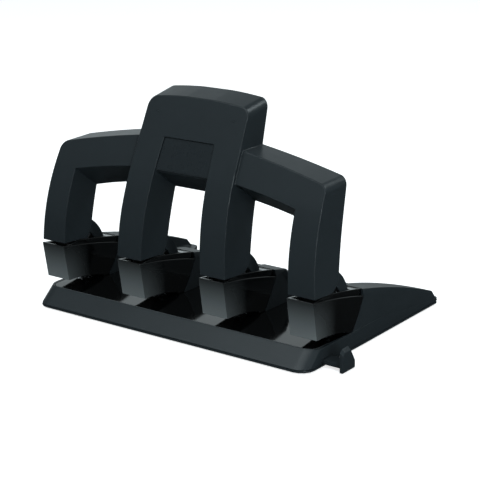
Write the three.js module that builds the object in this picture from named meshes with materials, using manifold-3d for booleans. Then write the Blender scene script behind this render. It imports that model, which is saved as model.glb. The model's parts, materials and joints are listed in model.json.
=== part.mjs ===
// Four-hole desk punch with one upright lever handle over four punch towers
// Millimetres. X runs along the paper's edge and is zero on the centre plane.
// Y goes rearwards from the front of the lever's feet, Z is up from the desk.
// The finished group is moved so that Y is zero under the line of the punch pins.

import * as THREE from 'three';
import { mergeVertices } from 'three/addons/utils/BufferGeometryUtils.js';
import Module from 'manifold-3d';

const wasm = await Module();
wasm.setup();

// Driving dimensions: towers and punching

const holePitch = 80;
const towerCount = 4;
const pinLineY = 35;
const pinRadius = 2.75;
const pinHeadRadius = 4.8;
const pinHeadThickness = 1.9;
const pinTipZ = 21.6;
const pinTravel = 9.6;

// Driving dimensions: clearances

const gap = 0.3;
const runningGap = 0.2;
const overrun = 40;

// Driving dimensions: base footprint and heights

const footHeight = 0.8;
const trayThickness = 1.8;
const trayGroove = 0.4;
const baseFrontY = -10.8;
const baseRearY = 186.5;
const baseSideMargin = 0.5;
const baseRearTaper = 0.9;
const baseTaperY = 67;
const baseFrontCorner = 11.5;
const baseRearCorner = 4;
const baseRearHollow = 13.5;
const rearTipWidth = 12;
const rearTipRun = 8;
const baseWall = 2.4;
const rimFrontInset = 13.4;
const rimSideInset = 0.1;
const rimLand = 0.6;
const wingSideInset = 0.5;
const floorZ = 15;
const floorThickness = 2;
const floorInsetFront = 3.6;
const floorInsetRear = 1.8;
const floorCorner = 8;
const bayRearY = 88;
const deckFrontY = 95;
const deckRearZ = 6;
const ledgeWidth = 5.4;
const openingInset = 4;
const openingRearY = 62;

// Driving dimensions: outer shape of a tower

const towerHalf = 11.7;
const shoeTopFrontY = -1.2;
const shoeTopFrontZ = 52.4;
const shoeTopRearY = 67.5;
const shoeTopRearZ = 39.7;
const shoeTopBulge = 1.15;
const shoeNoseY = 3.9;
const shoeNoseZ = 22.6;
const slotNeckY = 44.1;
const slotNeckZ = 17.4;
const slotTopBulge = 1.3;
const slotEndY = 46.6;
const shoeHeelY = 52.5;
const shoeKneeY = 60.8;
const shoeKneeZ = 26.9;
const shoeSideWall = 2.1;
const shoeBottomWall = 2;
const shoeEndWall = 1.7;

// Driving dimensions: top line that the core, the fins and the wings share

const ridgeFrontY = 19.5;
const ridgeFrontZ = 52.7;
const ridgeRearInset = 10.2;
const ridgeRearZ = 13.5;
const ridgeBulge = 4.9;
const ridgeTipInset = 1.2;
const ridgeTipZ = 3.7;
const creaseBand = 5.2;
const creaseGrowthShare = 0.07;
const creaseEndY = 112;
const ridgeBevel = 1.6;
const ridgeBevelRear = 0.5;
const finTopRearY = 84;
const finFootRearY = 99;
const finWall = 2.3;
const wingInnerInset = 21.7;
const wingInnerGain = 12;
const wingInnerDraft = 3;
const wingHollowShare = 0.8;

// Driving dimensions: core and steel frame in a tower

const coreHalf = 9.1;
const coreWall = 1.7;
const coreFrontY = 6;
const coreBottomZ = 25.1;
const coreFrontTopZ = 51.3;
const coreFrontWebTopZ = 36;
const coreWebThickness = 1.8;
const cheekInnerHalf = 5.4;
const cheekThickness = 1.4;
const cheekFrontY = 9;
const cheekTopZ = 46;
const cheekReach = 14;
const cheekArcLowAngle = -19;
const cheekNeckY = 45;
const guidePlateZ = 24.8;
const guidePlateThickness = 2.6;
const guidePlateFrontY = 12;
const guidePlateRearY = 42.5;
const columnRearY = 58;
const columnTopZ = 26.6;
const columnWeb = 2;
const frameFootFrontY = 22;
const frameFootZ = 8.7;

// Driving dimensions: dies, rail and screws

const dieRadius = 6;
const dieSeatThickness = 1.4;
const dieSeatRadius = 4;
const dieDrop = 0.2;
const chipHoleRadius = 4.5;
const railThickness = 2;
const railInset = 5.2;
const railFrontY = 1.2;
const railRearY = 74;
const screwRadius = 1.5;
const screwHeadRadius = 2.8;
const screwHeadHeight = 1.2;
const railScrewFrontY = 5;
const railScrewRearY = 68;
const postRadius = 3;

// Driving dimensions: lever pivot, cam and arm

const pivotY = 20;
const pivotZ = 36.5;
const pivotPinRadius = 2.5;
const hubRadius = 6.5;
const noseReachY = 15;
const noseRiseZ = 9.5;
const noseRadius = 4;
const armHalf = 4.8;
const armHeelRadius = 28.6;
const armHeelInner = 24;
const armWebAngle = 40;
const heelLowAngle = 17.5;
const heelHighAngle = 62;
const heelCoverAngle = 75;
const heelSkin = 5.7;
const heelSkirtClearance = 1;
const heelSkirtAngle = 50;
const heelHalf = 7.1;
const heelCutAngle = 6;
const armFrontInset = 7;
const armDepth = 12;
const armTopDrop = 8.8;
const armShoulderRise = 1.6;

// Driving dimensions: handle shell

const legFrontZ = 54.4;
const legToeY = 20;
const legHeelY = 33.4;
const legHeelZ = 67;
const archLegOuter = 12.6;
const archLegInner = 11.3;
const bowLegOuter = 12;
const bowLegInner = 11.5;
const legLeanShare = 0.048;
const archLeanFrontShare = 0.05;
const archLeanGainShare = 0.056;
const bowLeanShare = 0.06;
const archFrontRadius = 178;
const archFrontLeanAngle = 25;
const bowFrontRadius = 150;
const bowFrontLeanAngle = 26.5;
const rearRadius = 330;
const rearLeanLowAngle = 8.5;
const rearLeanHighAngle = 15.3;
const archTopZ = 179.1;
const archTopY = 39.7;
const archTopTiltShare = 0.195;
const archTopRadius = 400;
const archCorner = 8;
const bowTopDrop = 31.2;
const bowFlatHalf = 38;
const bowTopSlopeShare = 0.12;
const bowTopRadius = 900;
const bowTopTiltShare = 0.04;
const bowTopY = 25;
const bowCorner = 8;
const bowCornerAngle = 77;
const bowDepthInner = 23.3;
const bowDepthOuter = 35.1;
const windowBulge = 0.85;
const soffitY = 15.5;
const soffitSlopeShare = 0.71;
const handleFrontWall = 2.4;
const handleSideWall = 1.9;
const coverThickness = 2.8;

// Driving dimensions: recessed panel and handle fasteners

const panelTopDrop = 30.4;
const panelHeight = 24.3;
const panelRecess = 1.4;
const panelThickness = 1.6;
const handlePostRadius = 3.4;
const handleScrewLength = 14;
const counterboreDepth = 1.5;
const bossSlack = 0.75;
const coverPostX = 36;
const coverPostDrop = 16.1;
const armScrewShare = 26 / 48;

// Driving dimensions: return spring, paper guide, tray and feet

const springRadius = 4.5;
const springInnerRadius = 3.1;
const guideFrontY = 11;
const guideRearY = 23;
const guideTongueZ = 3.7;
const guideTopZ = 6.1;
const guideShankZ = 2.9;
const guideTongueLength = 68;
const guideShoulderReach = 1.8;
const stopReach = 16.3;
const stopThickness = 2.8;
const stopFrontY = 8;
const stopRearY = 25;
const stopBottomZ = 0.6;
const stopFrontTopZ = 16.5;
const stopTopZ = 18.6;
const stopChamfer = 3;
const stopRearTopY = 19;
const bracketLength = 52;
const bracketSideInset = 20.2;
const bracketWall = 1.3;
const bracketFloor = 0.5;
const chipWallInset = 18.2;
const chipWallFrontY = 25.4;
const chipWallRearY = 60;
const chipWallThickness = 1.2;
const chipWallTopZ = 4.5;
const footThickness = 1.3;
const footRecess = 0.8;
const stripInset = 14.2;
const stripFrontY = 29;
const stripRearY = 41;
const padInset = 28.2;
const padHalf = 14;
const padFrontY = -1;
const padRearInset = 27.9;
const padDepth = 10;

// Facet counts

const pinSides = 12;
const screwSides = 8;
const cornerSteps = 4;
const curveSteps = 6;
const shortSteps = 3;
const wingSteps = 8;

// Levels and depths that follow from the driving dimensions

const trayTopZ = footHeight + trayThickness;
const housingZ = trayTopZ + trayGroove;
const floorSeatZ = floorZ - floorThickness - gap;
const slabUnderZ = floorSeatZ - baseWall;
const railTopZ = frameFootZ - gap;
const railZ = railTopZ - railThickness;
const screwHeadTopZ = railZ - gap;
const screwHeadZ = screwHeadTopZ - screwHeadHeight;
const frameFootTopZ = floorSeatZ;
const cheekOuterHalf = cheekInnerHalf + cheekThickness;
const guidePlateTopZ = guidePlateZ + guidePlateThickness;
const heelInner = armHeelInner + gap;
const heelSkirtRadius = cheekReach + heelSkirtClearance;
const heelRadius = armHeelRadius + heelSkin;
const coreWebFrontY = pivotY + heelRadius - 2 * gap;
const noseY = pivotY + noseReachY;
const noseZ = pivotZ + noseRiseZ;
const pinHeadZ = noseZ - noseRadius - gap;
const pinHeadUnderZ = pinHeadZ - pinHeadThickness;
const screwHoleRadius = screwRadius + gap;
const shoeFootZ = floorZ + gap;
const pivotHoleRadius = pivotPinRadius + runningGap;
const panelSeat = panelRecess + panelThickness + gap;
const deckRearY = baseRearY - baseRearHollow;
const ridgeRearY = baseRearY - ridgeRearInset;
const ridgeTipY = baseRearY - ridgeTipInset;
const padRearY = baseRearY - padRearInset;
const bowTopZ = archTopZ - bowTopDrop;
const windowInnerZ = bowTopZ - bowDepthInner;
const windowOuterZ = bowTopZ - bowDepthOuter;
const panelTopZ = archTopZ - panelTopDrop;
const middleWindowZ = panelTopZ - panelHeight;
const coverPostZ = archTopZ - coverPostDrop;
const armTopZ = windowOuterZ - armTopDrop;
const armShoulderZ = legFrontZ + armShoulderRise;
const armScrewZ = armShoulderZ + armScrewShare * (armTopZ - armShoulderZ);

if (pinTipZ - pinTravel > floorZ) {
  throw new Error('The pins must reach the dies');
}

// Places of the towers along X, and the widths that follow them

const towerXs = Array.from({ length: towerCount }, (_, i) => (i - (towerCount - 1) / 2) * holePitch);
const outerTowerX = towerXs[towerCount - 1];
const baseFrontHalf = outerTowerX + towerHalf + baseSideMargin;
const baseRearHalf = baseFrontHalf - baseRearTaper;
const floorHalfFront = baseFrontHalf - floorInsetFront;
const floorHalfRear = baseFrontHalf - floorInsetRear;
const openingHalf = baseFrontHalf - openingInset;
const railHalf = baseFrontHalf - railInset;
const bracketOuterX = baseFrontHalf - bracketSideInset;
const bracketInnerX = bracketOuterX - bracketLength;
const guideShoulderX = baseFrontHalf + guideShoulderReach;
const guideInnerX = guideShoulderX - guideTongueLength;
const stopFaceX = baseFrontHalf + stopReach;
const chipWallHalf = baseFrontHalf - chipWallInset;
const stripHalf = baseFrontHalf - stripInset;
const padX = baseFrontHalf - padInset;
const railScrewX = outerTowerX - holePitch / 2;
const innerTowerX = outerTowerX - holePitch;
const archFootOuter = innerTowerX + archLegOuter;
const archFootInner = innerTowerX - archLegInner;
const bowFootOuter = outerTowerX + bowLegOuter;
const bowFootInner = outerTowerX - bowLegInner;

// Materials

function finish(color, roughness, metalness) {
  return new THREE.MeshStandardMaterial({ color, roughness, metalness });
}

const mattPlastic = () => finish(0x2b2d30, 0.62, 0);
const smoothPlastic = () => finish(0x232428, 0.4, 0);
const glossPlastic = () => finish(0x08090a, 0.12, 0);
const steel = () => finish(0xb4b6b8, 0.35, 1);
const hardSteel = () => finish(0x8c8f93, 0.25, 1);
const rubber = () => finish(0x151515, 0.9, 0);

// Small helpers for angles and curves

const radians = THREE.MathUtils.degToRad;
const lerp = THREE.MathUtils.lerp;

// Height on a line between two points that bulges up in the middle
function bowed(y, y0, z0, y1, z1, bulge) {
  const share = (y - y0) / (y1 - y0);
  return lerp(z0, z1, share) + 4 * bulge * share * (1 - share);
}

function spread(from, to, steps) {
  return Array.from({ length: steps + 1 }, (_, i) => lerp(from, to, i / steps));
}

function arc(cx, cy, radius, startAngle, endAngle, steps) {
  return spread(startAngle, endAngle, steps).map((angle) => [
    cx + radius * Math.cos(radians(angle)),
    cy + radius * Math.sin(radians(angle)),
  ]);
}

// Closed body through rings of equal length, with flat or nearly flat ends
function loft(rings) {
  const count = rings[0].length;
  const positions = rings.flat(2);
  const index = [];
  for (let r = 0; r < rings.length - 1; r += 1) {
    for (let i = 0; i < count; i += 1) {
      const a = r * count + i;
      const b = r * count + ((i + 1) % count);
      index.push(a, b, b + count, a, b + count, a + count);
    }
  }
  const capTriangles = (ring) => {
    const spans = [0, 1, 2].map((k) => {
      const values = ring.map((p) => p[k]);
      return Math.max(...values) - Math.min(...values);
    });
    const flat = spans.indexOf(Math.min(...spans));
    const axes = [0, 1, 2].filter((k) => k !== flat);
    const contour = ring.map((p) => new THREE.Vector2(p[axes[0]], p[axes[1]]));
    const swapped = THREE.ShapeUtils.area(contour) < 0;
    const faces = THREE.ShapeUtils.triangulateShape(swapped ? [...contour].reverse() : contour, []);
    const real = (i) => (swapped ? count - 1 - i : i);
    return faces.map((face) => (swapped ? [real(face[0]), real(face[2]), real(face[1])] : face));
  };
  const last = (rings.length - 1) * count;
  for (const [a, b, c] of capTriangles(rings[0])) {
    index.push(c, b, a);
  }
  for (const [a, b, c] of capTriangles(rings[rings.length - 1])) {
    index.push(last + a, last + b, last + c);
  }
  return solidFromTriangles(positions, index);
}

function solidFromTriangles(positions, index) {
  let volume = 0;
  const corner = (i) => new THREE.Vector3(...positions.slice(3 * i, 3 * i + 3));
  for (let i = 0; i < index.length; i += 3) {
    const [a, b, c] = [corner(index[i]), corner(index[i + 1]), corner(index[i + 2])];
    volume += a.dot(b.cross(c));
  }
  const turned = volume > 0 ? index : [...index].reverse();
  return new wasm.Manifold(new wasm.Mesh({
    numProp: 3,
    vertProperties: new Float32Array(positions),
    triVerts: new Uint32Array(turned),
  }));
}

function solidFromGeometry(geometry) {
  geometry.deleteAttribute('normal');
  geometry.deleteAttribute('uv');
  const merged = mergeVertices(geometry);
  return solidFromTriangles([...merged.attributes.position.array], [...merged.index.array]);
}

function geometryFromSolid(solid) {
  const mesh = solid.getMesh();
  const geometry = new THREE.BufferGeometry();
  geometry.setAttribute('position', new THREE.BufferAttribute(mesh.vertProperties, 3));
  geometry.setIndex(new THREE.BufferAttribute(mesh.triVerts, 1));
  geometry.computeVertexNormals();
  return geometry;
}

// Outlines pushed along one axis

const prismX = (outline, x0, x1) => loft([x0, x1].map((x) => outline.map(([y, z]) => [x, y, z])));
const prismZ = (outline, z0, z1) => loft([z0, z1].map((z) => outline.map(([x, y]) => [x, y, z])));

function block(x0, x1, y0, y1, z0, z1) {
  const geometry = new THREE.BoxGeometry(x1 - x0, y1 - y0, z1 - z0);
  geometry.translate((x0 + x1) / 2, (y0 + y1) / 2, (z0 + z1) / 2);
  return solidFromGeometry(geometry);
}

function rod(axis, centre, from, to, radius, sides) {
  const geometry = new THREE.CylinderGeometry(radius, radius, to - from, sides);
  if (axis === 'x') {
    geometry.rotateZ(-Math.PI / 2);
    geometry.translate((from + to) / 2, centre[0], centre[1]);
  } else if (axis === 'y') {
    geometry.translate(centre[0], (from + to) / 2, centre[1]);
  } else {
    geometry.rotateX(Math.PI / 2);
    geometry.translate(centre[0], centre[1], (from + to) / 2);
  }
  return solidFromGeometry(geometry);
}

const union = (solids) => solids.reduce((sum, solid) => sum.add(solid));
const cutAll = (solid, cuts) => cuts.reduce((rest, cut) => rest.subtract(cut), solid);

function piece(name, solid, material) {
  const mesh = new THREE.Mesh(geometryFromSolid(solid), material);
  mesh.name = name;
  return mesh;
}

// Places of screws and pads

const mirrored = (x) => [-x, x];
const railScrewPlaces = mirrored(railScrewX).flatMap((x) => [[x, railScrewFrontY], [x, railScrewRearY]]);
const padPlaces = mirrored(padX).flatMap((x) => [[x, padFrontY], [x, padRearY]]);

// Curves that several pieces follow

const shoeTop = (y) => bowed(y, shoeTopFrontY, shoeTopFrontZ, shoeTopRearY, shoeTopRearZ, shoeTopBulge);
const slotTop = (y) => bowed(y, shoeNoseY, shoeNoseZ, slotNeckY, slotNeckZ, slotTopBulge);

function ridge(y) {
  if (y <= ridgeRearY) {
    return bowed(y, ridgeFrontY, ridgeFrontZ, ridgeRearY, ridgeRearZ, ridgeBulge);
  }
  return lerp(ridgeRearZ, ridgeTipZ, (y - ridgeRearY) / (ridgeTipY - ridgeRearY));
}

const shoeRearEdge = [
  [shoeHeelY, shoeFootZ],
  [shoeKneeY, shoeKneeZ],
  [shoeTopRearY, shoeTopRearZ],
];

// Front of the handle: upright at the foot, curving back, then straight
function frontY(z, radius, lean) {
  const bendTopZ = legFrontZ + radius * Math.sin(radians(lean));
  if (z <= legFrontZ) {
    return 0;
  }
  if (z <= bendTopZ) {
    return radius - Math.sqrt(radius ** 2 - (z - legFrontZ) ** 2);
  }
  return radius * (1 - Math.cos(radians(lean))) + (z - bendTopZ) * Math.tan(radians(lean));
}

const archFront = (z) => frontY(z, archFrontRadius, archFrontLeanAngle);
const bowFront = (z) => frontY(z, bowFrontRadius, bowFrontLeanAngle);

// Rear of the handle: leaning back on a long curve, then straight
function rearY(z) {
  const low = radians(rearLeanLowAngle);
  const high = radians(rearLeanHighAngle);
  const bendTopZ = legHeelZ + rearRadius * (Math.sin(high) - Math.sin(low));
  if (z <= bendTopZ) {
    const sine = Math.sin(low) + (z - legHeelZ) / rearRadius;
    return legHeelY + rearRadius * (Math.cos(low) - Math.sqrt(1 - sine ** 2));
  }
  return legHeelY + rearRadius * (Math.cos(low) - Math.cos(high)) + (z - bendTopZ) * Math.tan(high);
}

// Base footprint and the pieces cut to it

function footprint(inset, frontInset) {
  const front = baseFrontY + frontInset;
  const half = baseFrontHalf - inset;
  const rearHalf = baseRearHalf - inset;
  const rear = baseRearY - inset;
  const frontCorner = Math.max(baseFrontCorner - inset, baseWall);
  const rearCorner = Math.max(baseRearCorner - inset, baseWall);
  const right = [
    ...arc(half - frontCorner, front + frontCorner, frontCorner, -90, 0, cornerSteps),
    [half, baseTaperY],
    ...arc(rearHalf - rearCorner, rear - rearCorner, rearCorner, 0, 90, cornerSteps),
  ];
  const tip = baseRearHalf - rearTipWidth + inset;
  const hollow = spread(0, 1, cornerSteps).map((share) => [
    tip - rearTipRun * share,
    rear - baseRearHollow * (1 - Math.cos(Math.PI * share)) / 2,
  ]);
  const half1 = [...right, ...hollow];
  const half2 = [...half1].reverse().map(([x, y]) => [-x, y]);
  return [...half1, ...half2];
}

// Body that narrows from the footprint at the groove to the rim at the floor
function rimmedBody(inset, bottomZ) {
  const rings = [
    [housingZ, 0, 0],
    [floorZ, rimSideInset, rimFrontInset],
  ].map(([z, side, front]) => footprint(inset + side, inset + front).map(([x, y]) => [x, y, z]));
  if (bottomZ < housingZ) {
    rings.unshift(rings[0].map(([x, y]) => [x, y, bottomZ]));
  }
  return loft(rings);
}

function floorOutline(inset, withColumns) {
  const front = baseFrontY + rimFrontInset + rimLand + inset;
  const half = floorHalfFront - inset;
  const halfRear = floorHalfRear - inset;
  const rear = bayRearY - inset;
  const finFront = shoeHeelY + 2 * gap - inset;
  const columnHalf = cheekOuterHalf + inset;
  const columnFront = slotEndY + shoeEndWall - gap / 2;
  const finHalf = towerHalf + inset;
  const corner = floorCorner;
  const column = (x) => (withColumns
    ? [[x + columnHalf, finFront], [x + columnHalf, columnFront],
      [x - columnHalf, columnFront], [x - columnHalf, finFront]]
    : []);
  const points = [
    ...arc(half - corner, front + corner, corner, -90, 0, cornerSteps),
    [halfRear, finFront],
  ];
  [...towerXs].reverse().forEach((x, i) => {
    if (i > 0) {
      points.push([x + finHalf, rear], [x + finHalf, finFront]);
    }
    points.push(...column(x));
    if (i < towerCount - 1) {
      points.push([x - finHalf, finFront], [x - finHalf, rear]);
    }
  });
  points.push([-halfRear, finFront]);
  points.push(...arc(-(half - corner), front + corner, corner, 180, 270, cornerSteps));
  return points;
}

// One cross-section of a fin or wing, seen along Y, with a bevel over a crease
function finRing(y, outerX, innerX, topZ, footZ, innerDraft, inset) {
  const side = Math.sign(outerX - innerX);
  const share = THREE.MathUtils.clamp((y - baseTaperY) / (creaseEndY - baseTaperY), 0, 1);
  const bevel = lerp(ridgeBevel, ridgeBevelRear, share);
  const band = Math.min(creaseBand + creaseGrowthShare * Math.max(y - baseTaperY, 0), (topZ - footZ) / 2);
  const outer = outerX - side * inset;
  const inner = innerX + side * inset;
  const top = topZ - inset;
  const crease = topZ - band - inset / 2;
  const innerBevel = innerDraft > 0 ? 0 : bevel;
  return [
    [outer, y, footZ],
    [outer, y, crease],
    [outer - side * bevel, y, top],
    [inner + side * innerBevel, y, top],
    [inner, y, crease],
    [inner - side * innerDraft, y, footZ],
  ];
}

function sideX(y) {
  const share = Math.max(y - baseTaperY, 0) / (baseRearY - baseTaperY);
  return lerp(baseFrontHalf, baseRearHalf, share);
}

function wing(side, inset) {
  const innerEdge = (y) => {
    if (y <= baseTaperY) {
      return outerTowerX - towerHalf;
    }
    const share = Math.min((y - baseTaperY) / (ridgeRearY - baseTaperY), 1);
    return baseFrontHalf - wingInnerInset + wingInnerGain * share ** 2;
  };
  const frontY = inset > 0 ? slotEndY : shoeHeelY + 2 * gap;
  const rearY = inset > 0 ? lerp(baseTaperY, ridgeRearY, wingHollowShare) : ridgeRearY;
  const stations = [frontY, baseTaperY, ...spread(finTopRearY, rearY, wingSteps)];
  if (inset === 0) {
    stations.push(ridgeTipY);
  }
  return loft(stations.map((y) => {
    const outer = Math.min(outerTowerX + towerHalf, sideX(y) - wingSideInset);
    const inner = Math.min(innerEdge(y), outer - ridgeBevel);
    const draft = y > baseTaperY ? wingInnerDraft : 0;
    return finRing(y, side * outer, side * inner, ridge(y), housingZ, draft, inset);
  }));
}

function deckZ(y) {
  return lerp(floorZ, deckRearZ, Math.max(y - deckFrontY, 0) / (deckRearY - deckFrontY));
}

function fin(x, inset, footZ) {
  const frontY = inset > 0 ? slotEndY : shoeHeelY + 2 * gap;
  const stations = [
    [frontY, ridge(frontY)],
    [baseTaperY, ridge(baseTaperY)],
    [finTopRearY, ridge(finTopRearY)],
    [finFootRearY - 2 * inset, deckZ(finFootRearY)],
  ];
  return loft(stations.map(([y, z]) => finRing(y, x + towerHalf, x - towerHalf, z, footZ, 0, inset)));
}

// Space in front of a fin that the shoe and the core fill
function finFrontCut(x) {
  const outline = [
    [slotEndY - overrun, floorZ],
    ...shoeRearEdge.map(([y, z]) => [y + gap, z]),
    [shoeTopRearY + gap, ridgeFrontZ + overrun],
    [slotEndY - overrun, ridgeFrontZ + overrun],
  ];
  return prismX(outline, x - towerHalf - gap, x + towerHalf + gap);
}

function baseHousing() {
  const profile = [
    [baseFrontY - overrun, housingZ],
    [baseFrontY - overrun, floorZ],
    [deckFrontY, floorZ],
    [deckRearY, deckRearZ],
    [baseRearY, deckRearZ],
    [baseRearY, housingZ],
  ];
  const hollowProfile = [
    [baseFrontY - overrun, housingZ - overrun],
    [baseFrontY - overrun, slabUnderZ],
    [bayRearY, slabUnderZ],
    [deckFrontY, floorZ - baseWall],
    [deckRearY, deckRearZ - baseWall + trayGroove],
    [baseRearY, deckRearZ - baseWall + trayGroove],
    [baseRearY, housingZ - overrun],
  ];
  const wide = baseFrontHalf + overrun;
  const slab = rimmedBody(0, housingZ).intersect(prismX(profile, -wide, wide));
  const hollow = rimmedBody(baseWall, housingZ - overrun).intersect(prismX(hollowProfile, -wide, wide));
  const innerTowers = towerXs.slice(1, -1);
  const outside = union([
    slab,
    wing(1, 0),
    wing(-1, 0),
    ...innerTowers.map((x) => fin(x, 0, floorZ - baseWall)),
  ]);
  const inside = [
    hollow,
    wing(1, finWall),
    wing(-1, finWall),
    ...innerTowers.map((x) => fin(x, finWall, housingZ)),
    ...towerXs.map((x) => finFrontCut(x)),
    prismZ(floorOutline(0, false), floorSeatZ, floorZ + overrun),
    block(-openingHalf, openingHalf, baseFrontY + rimFrontInset + ledgeWidth, openingRearY,
      housingZ - overrun, floorSeatZ + gap),
    block(railHalf, wide, guideFrontY - gap, guideRearY + gap, housingZ - overrun, guideTopZ + gap),
  ];
  const posts = [];
  const holes = [];
  for (const [x, y] of railScrewPlaces) {
    posts.push(rod('z', [x, y], frameFootZ, floorSeatZ - gap, postRadius, screwSides));
    holes.push(rod('z', [x, y], railZ, floorSeatZ - 2 * gap, screwHoleRadius, screwSides));
  }
  return cutAll(union([cutAll(outside, inside), ...posts]), holes);
}

function floorPlate() {
  const plate = prismZ(floorOutline(gap, true), floorZ - floorThickness, floorZ);
  const dieHole = (x) => rod('z', [x, pinLineY], 0, floorZ + gap, dieRadius + gap, pinSides);
  return cutAll(plate, towerXs.map(dieHole));
}

function baseRail() {
  const plate = block(-railHalf, railHalf, railFrontY, railRearY, railZ, railTopZ);
  const hole = (x, y, radius, sides) => rod('z', [x, y], 0, floorZ, radius, sides);
  return cutAll(plate, [
    ...towerXs.map((x) => hole(x, pinLineY, chipHoleRadius, pinSides)),
    ...railScrewPlaces.map(([x, y]) => hole(x, y, screwHoleRadius, screwSides)),
  ]);
}

// Screw along Z with its head below the rail
function railScrew(x, y) {
  const tipZ = floorSeatZ - 3 * gap;
  const head = rod('z', [x, y], screwHeadZ, screwHeadTopZ, screwHeadRadius, screwSides);
  return head.add(rod('z', [x, y], screwHeadTopZ - gap, tipZ, screwRadius, screwSides));
}

function chipTray() {
  const plate = prismZ(footprint(0, 0), footHeight, trayTopZ);
  const wallOuter = block(-chipWallHalf, chipWallHalf, chipWallFrontY, chipWallRearY,
    trayTopZ - gap, chipWallTopZ);
  const wallInner = block(-chipWallHalf + chipWallThickness, chipWallHalf - chipWallThickness,
    chipWallFrontY + chipWallThickness, chipWallRearY - chipWallThickness, trayTopZ, chipWallTopZ + overrun);
  const recess = (x0, x1, y0, y1) => block(x0 - gap, x1 + gap, y0 - gap, y1 + gap,
    footHeight - overrun, footHeight + footRecess);
  return cutAll(plate.add(wallOuter.subtract(wallInner)), [
    recess(-stripHalf, stripHalf, stripFrontY, stripRearY),
    ...padPlaces.map(([x, y]) => recess(x - padHalf, x + padHalf, y, y + padDepth)),
  ]);
}

const rubberPad = (x, y) => block(x - padHalf, x + padHalf, y, y + padDepth, 0, footThickness);

const rubberStrip = () => block(-stripHalf, stripHalf, stripFrontY, stripRearY, 0, footThickness);

// Paper guide: a flat bar that slides in a bracket under the rail, with an upright stop

function paperGuide() {
  const tongue = block(guideInnerX, guideShoulderX + gap, guideFrontY, guideRearY, guideTongueZ, guideTopZ);
  const shank = block(guideShoulderX, stopFaceX + stopThickness / 2, guideFrontY, guideRearY,
    guideShankZ, guideTopZ);
  const outline = [
    [stopFrontY, stopBottomZ],
    [stopFrontY, stopFrontTopZ],
    [stopFrontY + stopChamfer, stopTopZ],
    [stopRearTopY, stopTopZ],
    [stopRearY, guideTopZ],
    [stopRearY, stopBottomZ],
  ];
  const rings = [0, 1].map((i) => outline.map(([y, z]) => {
    const drop = i * stopChamfer * Math.max(z - guideTopZ, 0) / (stopTopZ - guideTopZ);
    return [stopFaceX + i * stopThickness, y, z - drop];
  }));
  return union([tongue, shank, loft(rings)]);
}

function guideBracket() {
  const front = guideFrontY - gap - bracketWall;
  const rear = guideRearY + gap + bracketWall;
  const bottomZ = guideTongueZ - gap - bracketFloor;
  const body = block(bracketInnerX, bracketOuterX, front, rear, bottomZ, railZ - gap);
  return body.subtract(block(bracketInnerX - gap, bracketOuterX + gap, guideFrontY - gap, guideRearY + gap,
    guideTongueZ - gap, railZ));
}

// Pieces of one tower, centred on X zero

function shoe() {
  const ys = spread(shoeTopFrontY, shoeTopRearY, curveSteps);
  const slotYs = spread(slotNeckY, shoeNoseY, curveSteps);
  const outer = [
    ...ys.map((y) => [y, shoeTop(y)]),
    [shoeKneeY, shoeKneeZ],
    [shoeHeelY, shoeFootZ],
    [slotEndY, shoeFootZ],
    ...slotYs.map((y) => [y, slotTop(y)]),
  ];
  const inner = [
    [shoeTopFrontY + shoeSideWall, shoeTopFrontZ + overrun],
    [shoeTopFrontY + shoeSideWall, shoeTopFrontZ],
    ...[...slotYs].reverse().map((y, i) => [y + (i === 0 ? shoeSideWall : 0), slotTop(y) + shoeBottomWall]),
    [slotEndY + shoeEndWall, slotNeckZ + shoeBottomWall],
    [slotEndY + shoeEndWall, 0],
    [shoeTopRearY + overrun, 0],
    [shoeTopRearY + overrun, shoeTopFrontZ + overrun],
  ];
  const innerHalf = towerHalf - shoeSideWall;
  const shell = prismX(outer, -towerHalf, towerHalf).subtract(prismX(inner, -innerHalf, innerHalf));
  return shell.subtract(rod('z', [0, pinLineY], 0, coreBottomZ, pinRadius + gap, pinSides));
}

function towerCore() {
  const innerHalf = coreHalf - coreWall;
  const topYs = spread(ridgeFrontY, shoeTopRearY, curveSteps);
  const plateOutline = [
    [coreFrontY, coreBottomZ],
    [coreFrontY, coreFrontTopZ],
    ...topYs.map((y) => [y, ridge(y)]),
    [shoeTopRearY, shoeTopRearZ],
    [shoeKneeY, shoeKneeZ],
    [shoeKneeY - (shoeKneeZ - coreBottomZ), coreBottomZ],
  ];
  const room = [
    [coreFrontY + coreWall, coreBottomZ - overrun],
    [coreFrontY + coreWall, coreFrontWebTopZ],
    [coreFrontY - overrun, coreFrontWebTopZ],
    [coreFrontY - overrun, ridgeFrontZ + overrun],
    [coreWebFrontY, ridgeFrontZ + overrun],
    [coreWebFrontY, ridge(coreWebFrontY) - coreWebThickness],
    [shoeTopRearY + overrun, ridge(shoeTopRearY + overrun) - coreWebThickness],
    [shoeTopRearY + overrun, coreBottomZ - overrun],
  ];
  return prismX(plateOutline, -coreHalf, coreHalf).subtract(prismX(room, -innerHalf, innerHalf));
}

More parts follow.
